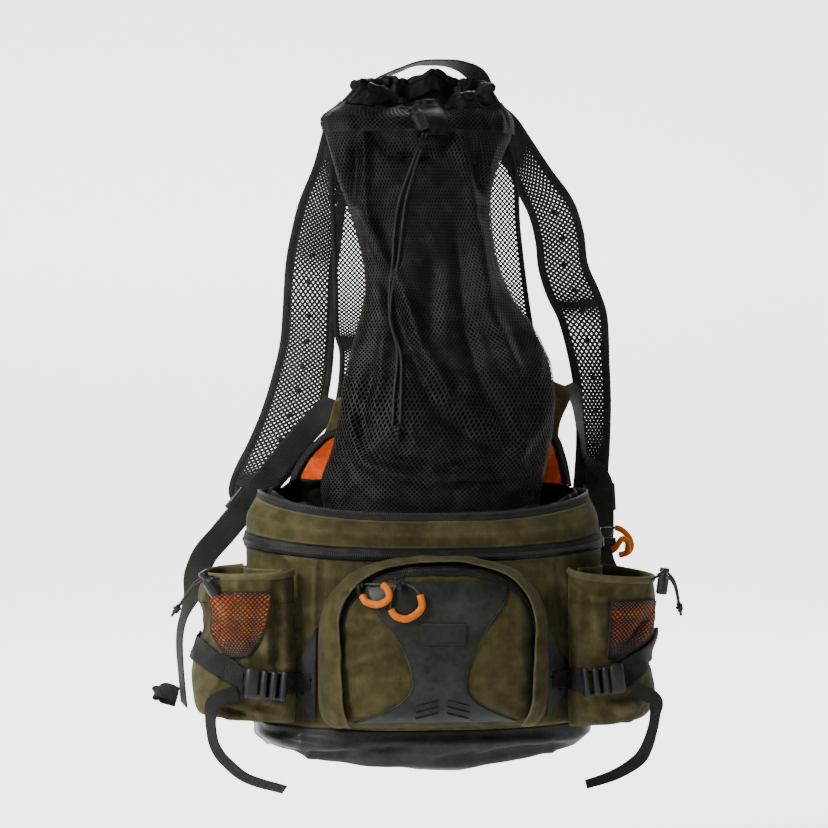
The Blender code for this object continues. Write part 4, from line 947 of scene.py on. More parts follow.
def body_row(z):
    for low, high in zip(BODY_ROWS, BODY_ROWS[1:]):
        if z <= high.z or high is BODY_ROWS[-1]:
            t = min(max((z - low.z) / (high.z - low.z), 0.0), 1.0)
            return BodyRow(*(a + (b - a) * t for a, b in zip(low, high)))


def body_point(z, turn, out=0.0):
    """The compartment's wall at a height and a direction round it, moved out by out."""
    row = body_row(z)
    half_depth, middle = (row.back - row.front) / 2, (row.back + row.front) / 2
    x = row.half_width * power(math.cos(turn), 2 / SQUARENESS)
    y = half_depth * power(math.sin(turn), 2 / SQUARENESS)
    normal = Vector((
        power(x / row.half_width, SQUARENESS - 1) / row.half_width,
        power(y / half_depth, SQUARENESS - 1) / half_depth, 0,
    )).normalized()
    drop = row.sag * max(0.0, -math.sin(turn)) ** 1.5 + row.bow * (1 - (x / row.half_width) ** 2)
    return Vector((x, middle + y, z - drop)) + normal * out


def outward(turn):
    return Vector((math.cos(turn), math.sin(turn), 0))


def ring_turn(u):
    """Directions round the compartment, from the middle of the back once round."""
    return math.pi / 2 + 2 * math.pi * u


def wall_front(x, z):
    """How far forward the compartment's front wall lies."""
    row = body_row(z + body_row(z).sag)
    half_depth, middle = (row.back - row.front) / 2, (row.back + row.front) / 2
    across = min(1.0, abs(x) / row.half_width) ** SQUARENESS
    return middle - half_depth * (1 - across) ** (1 / SQUARENESS)


def body_sheet(low, high, columns, rows, relief, out=0.0):
    def surface(u, v):
        return body_point(low + (high - low) * v, ring_turn(u), out)
    return grid(columns, rows, relieved(surface, relief), closed=True, span=(0.95, high - low))


def edge_path(z, out, count=300):
    """A path once round the compartment, with its outward normals."""
    path = []
    for i in range(count + 1):
        turn = ring_turn(i / count)
        point = body_point(z, turn, out)
        path.append((point, (body_point(z, turn, out + 0.01) - point).normalized()))
    return path


def make_compartment():
    """Base, wall, expansion band, collar and rim, with their zips and seams."""
    def base_relief(p, u, v):
        slack = 0.0016 * ruffle(p, 0.045, 2) + 0.0012 * crease(p, 0.05, 5)
        return (1.9 * slack + 3.0 * folded(p, BASE_FOLDS)) * min(1, 6 * v)

    def base_surface(u, v):
        low, high = BASE_SPAN
        if v >= BASE_FLAT:
            return body_point(low + (high - low) * (v - BASE_FLAT) / (1 - BASE_FLAT), ring_turn(u))
        share = v / BASE_FLAT
        rim = body_point(low, ring_turn(u))
        return Vector(BASE_MIDDLE).lerp(rim, share) - Vector((0, 0, 0.0015 * (1 - share)))

    base = grid(168, 20, relieved(base_surface, base_relief), closed=True, span=(0.95, 0.1))
    face_out(base)
    finished("base_cloth", base, "coated", ["base_tub"], 180, CANVAS)

    def wall_relief(p, u, v):
        slack = 0.0018 * ruffle(p, 0.06, 1) + 0.0011 * crease(p, 0.055, 3) + 0.0006 * ruffle(p, 0.016, 8)
        return slack * (0.35 + 0.65 * math.sin(math.pi * v)) + folded(p, WALL_FOLDS)

    wall = body_sheet(*WALL_SPAN, 300, 54, wall_relief)
    ground = Ground(wall)
    finished("wall_cloth", wall, "olive", ["body_wall"], 180, CANVAS)

    def band_relief(p, u, v):
        return 0.0012 * ruffle(p, 0.05, 6) + 0.0012 * math.sin(math.pi * v)

    band = body_sheet(*BAND_SPAN, 216, 8, band_relief, 0.0012)
    finished("band_cloth", band, "band", ["expansion_band"], 180, CANVAS)
    toothed("band_teeth", edge_path(-0.469, 0.0032, 240), (0.0012, 0.0032, 0.0012))
    for name, z in (("band_hem_low", -0.4735), ("band_hem_high", -0.462)):
        hem = tube([p for p, _ in edge_path(z, 0.0014, 140)], 0.0006, 6, cap=False)
        finished(name, hem, "shade")

    def collar_relief(p, u, v):
        wave = 0.002 * ruffle(p, 0.045, 11) + 0.0014 * crease(p, 0.06, 13)
        return wave * math.sin(math.pi * (0.1 + 0.8 * v)) + 0.0012 * math.sin(math.pi * v)

    collar = body_sheet(*COLLAR_SPAN, 216, 14, collar_relief)
    finished("collar_cloth", collar, "olive", ["collar"], 180, CANVAS)
    rim = body_sheet(*RIM_SPAN, 216, 5, lambda p, u, v: 0.0006 * math.sin(math.pi * v), 0.0006)
    finished("rim_tape", rim, "tape", ["rim_zip"], 180, CANVAS)
    toothed("rim_teeth", edge_path(-0.4225, 0.0012, 240), (0.0013, 0.0026, 0.0022))
    for name, z in (("collar_stitch", -0.4312), ("band_stitch", -0.4762)):
        stitched(name, edge_path(z, 0.0012, 200), "thread", (0.0024, 0.0006, 0.0005))
    return ground


def pocket_reach(x, z):
    up = z - POCKET_CENTRE
    tall, squareness = (POCKET_TOP, 2.8) if up > 0 else (POCKET_BOTTOM, 9.0)
    across = abs(x) / POCKET_HALF_WIDTH
    return (across ** squareness + (abs(up) / tall) ** squareness) ** (1 / squareness)


def dome_point(reach, turn):
    """The front pocket's dome, from how far out a point is and its direction round the centre."""
    across, up = math.cos(turn), math.sin(turn)
    scale = reach / pocket_reach(across, POCKET_CENTRE + up)
    x, z = across * scale, POCKET_CENTRE + up * scale
    bulge = POCKET_BULGE * (1 - min(1.0, reach) ** POCKET_FULLNESS) ** 0.55
    return Vector((x, wall_front(x, z) - 0.0015 - bulge, z))


def arch_turn(share):
    """Directions from the left foot over the crown to the right foot."""
    return math.pi - POCKET_FOOT + (2 * POCKET_FOOT - math.pi) * share


def make_front_pocket():
    def surface(u, v):
        return dome_point(max(0.002, 1 - v ** 1.5), -2 * math.pi * u)

    def relief(p, u, v):
        slack = 0.0022 * ruffle(p, 0.05, 21) + 0.0014 * crease(p, 0.05, 23) + 0.0006 * ruffle(p, 0.014, 25)
        return -(slack * min(1.0, 5 * v) * min(1, 4 * (1 - v)) + folded(p, DOME_FOLDS) * min(1.0, 5 * v))

    dome = grid(180, 60, relieved(surface, relief), closed=True, span=(0.6, 0.1))
    weld(dome, 0.0004)
    face_out(dome)
    dome.normal_update()
    if sum(f.normal.y * f.calc_area() for f in dome.faces) > 0:
        bmesh.ops.reverse_faces(dome, faces=dome.faces)
    ground = Ground(dome)
    finished("pocket_dome", dome, "olive", ["front_pocket"], 180, CANVAS)
    return ground


def make_centre_panel(dome):
    """The coated hourglass on the pocket, its edge stitches, its slits and the bare patch."""
    def surface(u, v):
        row = along(PANEL_ROWS, v)
        gap = 0.0018 + 0.0016 * math.sin(math.pi * u) ** 0.5
        p = dome.in_front(row.half_width * (2 * u - 1), row.z, gap)
        return p - Vector((0, 0.001 * ruffle(p, 0.035, 31), 0))

    panel = grid(40, 48, surface, span=(0.12, 0.13))
    evened(panel, 3, inner=True)
    panel.normal_update()
    ground = Ground(panel)
    finished("panel_cloth", panel, "coated", ["centre_panel"], 180, THIN_CLOTH)
    inset = 0.0022
    for name, side in SIDES.items():
        rows = [along(PANEL_ROWS, 0.02 + 0.96 * i / 60) for i in range(61)]
        path = [ground.hit(side * (row.half_width - inset), row.z) for row in rows]
        stitched(f"panel_stitch_{name}", path, size=(0.0022, 0.0005, 0.0005), pitch=0.003, lift=0.0002)
    slits = []
    for i in range(3):
        for side in (-1, 1):
            path = []
            for j in range(6):
                x = side * (0.004 + 0.0042 * j) + 0.004
                z = -0.616 - 0.0062 * i - 0.0011 * j
                path.append(ground.laid(x, z, 0.0006))
            slits.append(tube(path, 0.0008, 6))
    finished("panel_slits", merged(*slits), "dark_thread")
    make_patch(ground)
    return ground


def make_patch(panel):
    """A bare rubber patch with a raised rim."""
    centre, half = (0.0035, -0.5538), (0.0215, 0.0104)

    def surface(u, v):
        x, z = centre[0] + half[0] * (2 * u - 1), centre[1] + half[1] * (2 * v - 1)
        inner = min(half[0] - abs(x - centre[0]), half[1] - abs(z - centre[1]))
        crown = 0.0005 * min(1.0, inner / 0.0005) - 0.0004 * min(1.0, max(0.0, (inner - 0.0012) / 0.0004))
        return panel.in_front(x, z, 0.0016 + crown)

    patch = grid(60, 36, surface, span=(0.043, 0.021))
    evened(patch, 2)
    finished("patch_rubber", patch, "plastic", ["front_patch"], 60, 0.0014)


def make_arch_flap(dome):
    """The storm flap over the pocket's zip, with the zip in its shadow."""
    def surface(u, v):
        turn = arch_turn(u)
        row = along(FLAP_ROWS, v)
        top = max(0.0, math.sin(turn))
        foot = max(0.0, 1 - 9 * min(u, 1 - u))
        reach = row.reach + (row.top_reach - row.reach) * top
        point = dome_point(reach, turn)
        inward = dome_point(reach - 0.03, turn)
        beside = dome_point(reach, turn - 0.03)
        normal = (beside - point).cross(point - inward).normalized()
        if normal.y > 0:
            normal.negate()
        if foot:
            edge = dome_point(FLAP_ROWS[0].reach, turn)
            point.z += (edge.z - point.z) * foot
            ahead = foremost(point.x, point.z, (dome,), wall_front(point.x, point.z) - 0.0015)
            point.y += (ahead - point.y) * min(1.0, 1.5 * foot)
            normal = normal.lerp(Vector((0, -1, 0)), 0.6 * foot).normalized()
        return point + normal * (row.lift + 0.0012)

    def relief(p, u, v):
        slack = 0.0016 * ruffle(p, 0.03, 41) + 0.001 * crease(p, 0.04, 43)
        return slack * min(1.0, 3 * v)

    flap = grid(200, 16, relieved(surface, relief), span=(0.44, 0.03))
    ground = Ground(flap)
    finished("flap_cloth", flap, "olive", ["arch_flap"], 180, CANVAS)
    for number, v in enumerate((0.22, 0.9), 1):
        line = []
        for i in range(200):
            here = surface(0.01 + 0.98 * i / 199, v)
            point, normal = ground.hit(here.x, here.z) or (here, Vector((0, -1, 0)))
            line.append((point + normal * 0.0003, normal))
        stitched(f"flap_stitch_{number}", line)
    path = []
    for i in range(161):
        turn = arch_turn(0.02 + 0.96 * i / 160)
        p = dome_point(0.885 + 0.018 * max(0.0, math.sin(turn)), turn)
        point, normal = dome.hit(p.x, p.z)
        path.append((point + normal * 0.0012, normal))
    toothed("pocket_zip_teeth", path, (0.0012, 0.0034, 0.0012), 0.0006)
    tape = [point - normal * 0.0002 for point, normal in path]
    wide = [normal.cross((path[min(i + 1, 160)][0] - path[max(i - 1, 0)][0])).normalized()
            for i, (_, normal) in enumerate(path)]
    finished("pocket_zip_tape", tube(tape, 0.006, 8, 0.1, wide), "tape")


def opened(bm, thread):
    """Turns a sheet into a net of diamonds with threads of that width."""
    old = [e for e in bm.edges if not e.is_boundary]
    bmesh.ops.poke(bm, faces=bm.faces[:])
    bmesh.ops.dissolve_edges(bm, edges=old, use_verts=False, use_face_split=False)
    bm.normal_update()
    cells = bm.faces[:]
    bmesh.ops.inset_individual(bm, faces=cells, thickness=thread / 2, use_even_offset=True)
    bmesh.ops.delete(bm, geom=cells, context="FACES_ONLY")
    return bm


def merged(*parts):
    """One mesh from several."""
    bm = bmesh.new()
    for part in parts:
        piece = bpy.data.meshes.new("part")
        part.to_mesh(piece)
        part.free()
        bm.from_mesh(piece)
        bpy.data.meshes.remove(piece)
    return bm


def bag_point(row, turn, phase, gathers=0, gather_depth=0.0):
    """A point round the bag at one of its rows, as in the frame."""
    half_width, half_depth = (row.right - row.left) / 2, (row.back - row.front) / 2
    folds = (math.sin(3 * turn + phase) + 0.7 * math.sin(7 * turn - 0.6 * phase)) / 1.7
    inward = row.fold * (0.5 - 0.5 * folds) + gather_depth * math.cos(gathers * turn)
    x = (row.right + row.left) / 2 + (half_width - inward) * power(math.cos(turn), 0.85)
    reach = half_depth - min(inward, 0.3 * half_depth)
    y = (row.back + row.front) / 2 + reach * power(math.sin(turn), 0.85)
    return Vector((x, y, row.z))


def bag_turns(row, phase, count=240):
    """Directions round the bag at which its wall is an even distance along."""
    turns = [ring_turn(i / count) for i in range(count + 1)]
    spots = [bag_point(row, t, phase) for t in turns]
    gone = [0.0]
    for one, other in zip(spots, spots[1:]):
        gone.append(gone[-1] + (other - one).length)
    return turns, [g / gone[-1] for g in gone]


def make_game_bag():
    columns, rows = 116, 84
    even = {}

    def turn_at(u, v):
        key = round(v * rows)
        if key not in even:
            row = along(BAG_ROWS, v)
            even[key] = bag_turns(row, FOLD_TWIST * row.z)
        turns, gone = even[key]
        i = min(max(bisect.bisect_right(gone, u) - 1, 0), len(turns) - 2)
        t = (u - gone[i]) / (gone[i + 1] - gone[i])
        return turns[i] + (turns[i + 1] - turns[i]) * t

    def relief(p, turn):
        ahead = max(0.0, -math.sin(turn)) ** 0.5
        slack = 0.0026 * ruffle((p.x, p.y, 0.35 * p.z), 0.02, 51) + 0.0018 * crease(p, 0.035, 53)
        low = min(1.0, max(0.0, (p.z + 0.47) / 0.05))
        return (1.5 * folded(p, BAG_FOLDS) * ahead + slack * (0.3 + 0.7 * ahead)) * low

    def place(u, v):
        row = along(BAG_ROWS, v)
        phase = FOLD_TWIST * row.z
        turn = turn_at(u, v)
        point = bag_point(row, turn, phase)
        above, below = along(BAG_ROWS, min(1.0, v + 0.01)), along(BAG_ROWS, v - 0.01)
        up = bag_point(above, turn, FOLD_TWIST * above.z) - bag_point(below, turn, phase)
        round_it = bag_point(row, turn + 0.03, phase) - bag_point(row, turn - 0.03, phase)
        return point + round_it.cross(up).normalized() * relief(point, turn)

    bag = grid(columns, rows, place, closed=True, span=(0.55, 0.4))
    face_out(bag)
    ground = Ground(bag)

    # The bag's back faces become a solid near-black sheet of painted shade behind the net; the rest becomes
    # the net.
    back = bag.copy()
    trim(back, lambda face: face.normal.y <= BACKWARD)
    trim(bag, lambda face: face.normal.y > BACKWARD)
    finished("bag_net", opened(bag, BAG_THREAD), "bag_thread", ["mesh_bag"], 180)
    finished("bag_back", back, "shade", (), 180, 0.0006)

    # The bag's floor is a near-black sheet of painted shade.
    def floor_surface(u, v):
        edge = bag_point(along(BAG_ROWS, 0.01), ring_turn(u), 0.0)
        middle = Vector((0.012, -0.065, -0.473))
        return middle.lerp(edge, v) - Vector((0, 0, 0.002 * ruffle(edge * v, 0.02, 4)))

    floor = grid(60, 8, floor_surface, closed=True, span=(0.3, 0.05))
    finished("bag_floor", floor, "shade", (), 180)
    return ground


def make_collar():
    """The gathered nylon collar, the channel round its mouth and the net lapped over its foot, with the
    collar's back below the lap painted near-black as shade.
    """
    def lobe(turn):
        angle = math.degrees(turn) % 360
        rise = out = 0.0
        for row in COLLAR_LOBES:
            off = abs((angle - row.turn + 180) % 360 - 180) / row.width
            share = math.exp(-(off ** 2))
            rise += row.rise * share
            out += row.out * share
        return rise, out

    def surface(u, v):
        turn = ring_turn(u)
        row = along(COLLAR_BAG_ROWS, v)
        rise, out = lobe(turn)
        up = min(1.0, max(0.0, v / 0.55))
        share = up * up
        pleat = 0.0042 * (abs(math.sin(8.5 * turn + 5 * v)) ** 0.6 - 0.7)
        pleat += 0.0026 * (abs(math.sin(14.5 * turn + 1.4 - 4 * v)) ** 0.6 - 0.7)
        pleat += 0.006 * ruffle((math.cos(turn) * 2.2, math.sin(turn) * 2.2, row.z * 9), 0.5, 61)
        p = bag_point(row, turn, FOLD_TWIST * -0.07, 9, 0.004 * share)
        way = outward(turn)
        back = max(0.0, math.sin(turn))
        p += way * ((out * share + pleat * (0.25 + 0.75 * share)) * (1 - 0.7 * back))
        p.z += (rise + 0.009 * math.sin(turn)) * share
        p.y = min(p.y, -0.003)
        return p

    def channel(u, v):
        turn = ring_turn(u)
        centre = surface(u, 0.6)
        way = outward(turn)
        gather = abs(math.sin(17.5 * turn + 0.6)) ** 0.5
        radius = 0.003 + 0.002 * gather + 0.002 * ruffle(centre, 0.012, 63)
        around = 2 * math.pi * v
        p = centre + way * (radius * math.cos(around)) + Vector((0, 0, 1.1 * radius * math.sin(around)))
        p.y = min(p.y, -0.0028)
        return p

    def lap(u, v):
        turn = ring_turn(u)
        p = surface(u, 0.36 * v)
        return p + outward(turn) * (0.0016 if p.y < -0.006 else 0.0002)

    def above_lap(face):
        spot = face.calc_center_median()
        turn = math.atan2(spot.y + 0.04, spot.x)
        return spot.z > -0.066 + 0.026 * abs(math.cos(turn)) ** 1.5 + 0.005 * math.sin(5 * turn)

    collar = grid(300, 40, surface, closed=True, span=(0.6, 0.09))
    face_out(collar)
    ground = Ground(collar)
    # Below the lap the collar keeps only its back faces, as a near-black sheet of painted shade seen
    # through the net.
    under = collar.copy()
    trim(under, lambda face: above_lap(face) or face.normal.y <= BACKWARD)
    trim(collar, lambda face: not above_lap(face))
    finished("collar_nylon", collar, "nylon", ["bag_collar"], 180, NYLON)
    finished("collar_under", under, "shade", (), 180, NYLON)
    ring = grid(360, 14, channel, closed=True, span=(0.5, 0.03))
    face_out(ring)
    finished("collar_channel", ring, "nylon", (), 180)
    net = grid(116, 7, lap, closed=True, span=(0.55, 0.03))
    face_out(net)
    trim(net, above_lap)
    finished("collar_lap", opened(net, BAG_THREAD), "bag_thread", (), 180)
    return ground


def strap_spot(rows, u, v, raise_y=0.0):
    row = along(rows, v)
    outer = Vector((row.x_out, row.y, row.z_out))
    inner = Vector((row.x_in, row.y, row.z_in))
    return outer.lerp(inner, u) + Vector((0, raise_y, 0))


def bound_edge(name, points, wide, half=0.0042, flat=0.42):
    finished(name, tube(points, half, 10, flat, wide), "tape")


def make_shoulder_strap(name):
    """Open spacer mesh between two bound edges, with a row of tacks down its middle."""
    rows = STRAP_ROWS[name]
    across, thread = (10, 0.0024) if name == "left" else (8, 0.0026)

    def surface(u, v):
        arch = 0.003 * math.sin(math.pi * u)
        return strap_spot(rows, 0.05 + 0.9 * u, v, -0.0004 - arch)

    net = opened(grid(across, 86, surface), thread)
    face_out(net)
    finished(f"strap_net_{name}", net, "net", [f"shoulder_strap_{name}"], 180, 0.0008, 0.0)
    for edge, u in (("outer", 0.075), ("inner", 0.925)):
        spots = [strap_spot(rows, u, i / 70) for i in range(71)]
        wide = [strap_spot(rows, 1, i / 70) - strap_spot(rows, 0, i / 70) for i in range(71)]
        bound_edge(f"strap_binding_{edge}_{name}", spots, [w.normalized() for w in wide])
    for end, v in (("top", 0.004), ("foot", 0.994)):
        spots = [strap_spot(rows, 0.04 + 0.92 * i / 10, v) for i in range(11)]
        way = strap_spot(rows, 0.5, min(1, v + 0.02)) - strap_spot(rows, 0.5, v - 0.02)
        bound_edge(f"strap_binding_{end}_{name}", spots, [way.normalized()] * 11)
    spots = [strap_spot(rows, 0.47, 0.3 + 0.62 * i / 10, -0.004) for i in range(11)]
    finished(f"strap_tacks_{name}", balls(spots, (0.0032, 0.0014, 0.0028)), "dark_thread", (), 180)


def make_back_net():
    def surface(u, v):
        row = along(BACK_NET_ROWS, v)
        return Vector((row.x_out + (row.x_in - row.x_out) * u, -0.0014, row.z_out))

    net = opened(grid(42, 82, surface), BACK_THREAD)
    face_out(net)
    finished("harness_net", net, "net", ["back_net"], 180, 0.0008, 0.0)
    for edge, u in (("left", 0.0), ("right", 1.0)):
        spots = [surface(u, i / 60) + Vector((0.001 - 0.002 * u, 0, 0)) for i in range(61)]
        bound_edge(f"net_binding_{edge}", spots, [Vector((1, 0, 0))] * 61, 0.0026, 0.5)


def ribbon_frames(rows, count):
    line = run(rows, count)
    for i, row in enumerate(line):
        before, after = line[max(i - 1, 0)], line[min(i + 1, count)]
        way = (Vector(after[:3]) - Vector(before[:3])).normalized()
        flat = way.cross(Vector((0, 1, 0)))
        flat = (flat if flat.length > 0.2 else Vector((0, 0, 1))).normalized()
        yield Vector(row[:3]), Matrix.Rotation(math.radians(row.turn), 3, way) @ flat


def ribbon(name, rows, width, replaces, count=60, relief=None):
    """A strap of webbing along a middle line, with rolled edges."""
    frames = list(ribbon_frames(rows, count))
    length = length_of([centre for centre, _ in frames])

    def place(u, v):
        i = min(int(round(v * count)), count)
        centre, wide = frames[i]
        return centre + wide * (width * (u - 0.5))

    bm = grid(8, count, place, span=(width, length))
    if relief:
        bm.normal_update()
        for vert in bm.verts:
            vert.co += vert.normal * relief(vert.co)
    obj = finished(name, bm, "webbing", replaces, 60, WEBBING, 0.0)
    round_edge = obj.modifiers.new("Edge", "BEVEL")
    round_edge.width = 0.0004
    round_edge.segments = 1
    round_edge.limit_method = "ANGLE"


def make_webbing():
    def soft(p):
        return 0.0006 * ruffle(p, 0.02, 71)

    for name in SIDES:
        ribbon(f"harness_webbing_{name}", HARNESS_WEB_ROWS[name], WEB_WIDTH, [f"harness_web_{name}"],
               relief=soft)
        ribbon(f"lower_webbing_{name}", LOWER_WEB_ROWS[name], WEB_WIDTH, [f"lower_web_{name}"],
               relief=soft)
        ribbon(f"tail_{name}", TAIL_ROWS[name], TAIL_WIDTH, [f"strap_tail_{name}"], relief=soft)
    ribbon("haul_webbing", LOOP_ROWS, 0.02, ["haul_loop"], count=72, relief=soft)
    ribbon("belt_loop_webbing", BELT_LOOP_ROWS, TAIL_WIDTH, ["belt_loop"])


def pocket_ring(name, u, v):
    """A side pocket's wall: its outside for u up to OUTSIDE, and the body's side after that."""
    side = SIDES[name]
    row = along(SIDE_POCKET_ROWS[name], v)
    outside = u <= OUTSIDE
    share = u / OUTSIDE if outside else 1 - (u - OUTSIDE) / (1 - OUTSIDE)
    turn = math.radians(-40 + 60 * share)
    droop = row.droop * (1 - share)
    wall = body_point(row.z + body_row(row.z).sag * max(0.0, -math.sin(turn)) ** 1.5, turn,
                      0.0012 + 0.1 * row.droop)
    wall.z = row.z
    if outside:
        plan = along(SIDE_POCKET_PLAN, share)
        reach = Vector((plan.x, plan.y, row.z)) - wall
        wall = wall + Vector((reach.x * row.wide, reach.y * row.full, 0))
    wall.z -= droop
    return Vector((side * wall.x, wall.y, wall.z))


def make_side_pocket(name):
    side = SIDES[name]

    def place(u, v):
        p = pocket_ring(name, u, v)
        if u > OUTSIDE:
            return p
        du = pocket_ring(name, min(u + 0.004, OUTSIDE), v) - pocket_ring(name, max(u - 0.004, 0.0), v)
        dv = pocket_ring(name, u, min(1.0, v + 0.01)) - pocket_ring(name, u, max(0.0, v - 0.01))
        normal = du.cross(dv).normalized() * side
        slack = 0.0022 * ruffle(p, 0.035, 81) + 0.0016 * crease(p, 0.04, 83) + 0.0006 * ruffle(p, 0.012, 85)
        ease = min(1.0, 8 * u, 8 * (OUTSIDE - u)) * min(1.0, 6 * v) * (0.4 + 0.6 * min(1.0, 6 * (1 - v)))
        ahead = max(0.0, -normal.y) ** 0.5
        p = p + normal * (slack + 1.5 * folded(p, POCKET_FOLDS[name]) * ahead) * ease
        p.z -= RIM_DIP[name] * math.sin(math.pi * min(1.0, u / OUTSIDE)) ** 0.7 * max(0.0, 2 * v - 1) ** 2
        return p

    pocket = grid(140, 72, place, span=(0.34, 0.14))
    weld(pocket)
    face_out(pocket)
    ground = Ground(pocket)
    finished(f"pocket_cloth_{name}", pocket, "olive", [f"side_pocket_{name}"], 60, CANVAS)
    around = [pocket_ring(name, i / 40, 0.0) for i in range(40)]
    middle = sum(around, Vector()) / len(around)

    def floor(u, v):
        spot = middle.lerp(pocket_ring(name, u, 0.01), v)
        return spot + Vector((0, 0, 0.0012 * ruffle(spot, 0.02, 87)))

    bottom = grid(80, 10, floor, closed=True, span=(0.3, 0.04))
    face_out(bottom)
    finished(f"pocket_floor_{name}", bottom, "olive", (), 180, CANVAS, 0.0)
    hem = [place(OUTSIDE * i / 60, 0.985) for i in range(61)]
    wide = [Vector((0, 0, 1))] * 61
    finished(f"pocket_hem_{name}", tube(hem, 0.0036, 10, 0.55, wide), "olive")
    path = []
    for i in range(90):
        u = 0.012 + 0.67 * i / 89
        point = place(u, 0.8)
        ahead = place(u + 0.004, 0.8)
        normal = (ahead - point).cross(Vector((0, 0, 1))).normalized() * side
        path.append((point + normal * 0.0004, normal))
    stitched(f"pocket_stitch_{name}", path)
    return ground


def make_pocket_window(name, pocket):
    """The window of diamond mesh over an orange backing, inside a bound edge."""
    side = SIDES[name]
    rows = WINDOW_ROWS[name]

    def laid(gap):
        def place(u, v):
            row = along(rows, 1 - v)
            x = side * (row.x_in + (row.x_out - row.x_in) * (u if side > 0 else 1 - u))
            found = pocket.hit(x, row.z)
            if found is None:
                found = (pocket.lifted((x, -0.15, row.z), 0.0), Vector((0, -1, 0)))
            return found[0] + found[1] * gap
        return place

    backing = grid(40, 44, laid(0.0018), span=(0.045, 0.055))
    evened(backing, 8)
    cloth = Ground(backing)
    finished(f"window_backing_{name}", backing, "net_backing", (), 180)

    def over_cloth(u, v):
        spot = laid(0.0026)(u, v)
        return cloth.lifted(spot, 0.001) - Vector((0, 0.001, 0))

    net = opened(grid(12, 15, over_cloth), WINDOW_THREAD)
    finished(f"window_net_{name}", net, "net", [f"pocket_net_{name}"], 180)
    border = [(0, i / 14) for i in range(15)] + [(i / 14, 1) for i in range(15)]
    border += [(1, 1 - i / 14) for i in range(15)] + [(1 - i / 14, 0) for i in range(15)]
    spots = [laid(0.0016)(u, v) for u, v in border]
    finished(f"window_binding_{name}", tube(spots, 0.0012, 8), "dark_olive")


def make_compression_strap(name, body, pocket):
    side = SIDES[name]

    def strap(u, v):
        p = along(SIDE_STRAP_POINTS, v)
        gap = 0.0014 + 0.0022 * min(1.0, 5 * v)
        return pocket.lifted((side * p.x, p.y, p.z + WEB_WIDTH * 0.96 * (u - 0.5)), gap)

    bm = grid(8, 40, strap, span=(WEB_WIDTH, 0.115))
    finished(f"compression_webbing_{name}", bm, "webbing", [f"side_strap_{name}"], 60, WEBBING, 0.0)

    def panel(u, v):
        row = along(ANCHOR_ROWS, v)
        x = side * (row.x_in + (row.x_out - row.x_in) * u)
        return body.laid(x, row.z, 0.0016)

    bm = grid(12, 40, panel, span=(0.02, 0.09))
    face_out(bm)
    finished(f"anchor_cloth_{name}", bm, "coated", [f"anchor_panel_{name}"], 180, THIN_CLOTH, 0.0)
    spots = [body.laid(side * x, z, 0.0023) for x, z in ANCHOR_HOLES]
    finished(f"anchor_eyelets_{name}", balls(spots, (0.002, 0.0005, 0.002)), "shade", (), 180)

    def link(u, v):
        x, z = side * (0.144 - 0.028 * v), -0.6015 - 0.001 * v + 0.022 * (u - 0.5) * (1 - 0.25 * v)
        return Vector((x, foremost(x, z, (body, pocket), -0.15) - 0.002 - 0.004 * (1 - v) ** 2, z))

    bm = grid(8, 24, link, span=(0.022, 0.03))
    evened(bm, 6)
    finished(f"anchor_webbing_{name}", bm, "webbing", (), 60, WEBBING, 0.0)


def upright(outline):
    return [Vector((p.x, 0, p.z)) for p in outline]


def outline_spot(outline, share):
    return along(upright(outline), share)


def make_lid():
    """The open lid behind the bag: its cloth, its orange lining, its zip edge and the two wings."""
    def leaf(y, inset, bulge):
        def place(u, v):
            edge = outline_spot(LID_OUTLINE, u)
            reach = edge.x - LID_MIDDLE
            low = Vector((LID_MIDDLE + reach * 0.9, 0, LID_FOOT))
            high = Vector((LID_MIDDLE + reach * inset, 0, LID_FOOT + (edge.z - LID_FOOT) * inset))
            spot = low.lerp(high, v)
            slack = 0.001 * ruffle(spot, 0.03, 91) + 0.0008 * crease(spot, 0.04, 93)
            return Vector((spot.x, y - bulge * math.sin(math.pi * v) - slack, spot.z))

        bm = grid(60, 24, place, span=(0.3, 0.06))
        face_out(bm)
        return bm

    finished("lid_cloth", leaf(-0.0052, 1.0, 0.0004), "olive", ["lid"], 180, 0.001, 0.0)
    finished("lining_cloth", leaf(-0.008, 0.955, 0.0006), "lining", ["lid_lining"], 180)
    edge = [outline_spot(LID_OUTLINE, i / 90) + Vector((0, LID_EDGE_Y, 0)) for i in range(91)]
    centre = Vector((LID_MIDDLE, LID_EDGE_Y, -0.4))
    wide = [(p - centre).normalized() for p in edge]
    finished("lid_tape", tube(edge, 0.004, 8, 0.35, wide), "tape")
    path = [(p + Vector((0, -0.002, 0)), Vector((0, -1, 0))) for p in edge]
    toothed("lid_teeth", path, (0.0012, 0.003, 0.001))
    for name, outline in WING_OUTLINES.items():
        centre = sum(upright(outline), Vector()) / len(outline)
        ring = [*outline, outline[0]]

        def place(u, v):
            spot = centre.lerp(outline_spot(ring, u), v)
            slack = 0.001 * ruffle(spot, 0.02, 95)
            return Vector((spot.x, -0.0062 - slack * (1 - v), spot.z))

        bm = grid(42, 10, place, closed=True, span=(0.2, 0.05))
        face_out(bm)
        finished(f"wing_cloth_{name}", bm, "olive", [f"corner_wing_{name}"], 180, THIN_CLOTH, 0.0)


def make_buckle_webbing():
    """The webbing that is threaded over each strap adjuster."""
    for name in SIDES:
        upper, lower = HARNESS_WEB_ROWS[name], LOWER_WEB_ROWS[name]
        ahead = [(upper[-2], 0.0022), (upper[-1], 0.0064)]
        middle = RibbonRow(*((a + b) / 2 for a, b in zip(upper[-1], lower[0])))
        ahead += [(middle, 0.0066), (lower[0], 0.0064), (lower[1], 0.0022)]
        rows = [row._replace(y=row.y - step) for row, step in ahead]
        ribbon(f"buckle_webbing_{name}", rows, WEB_WIDTH, ())


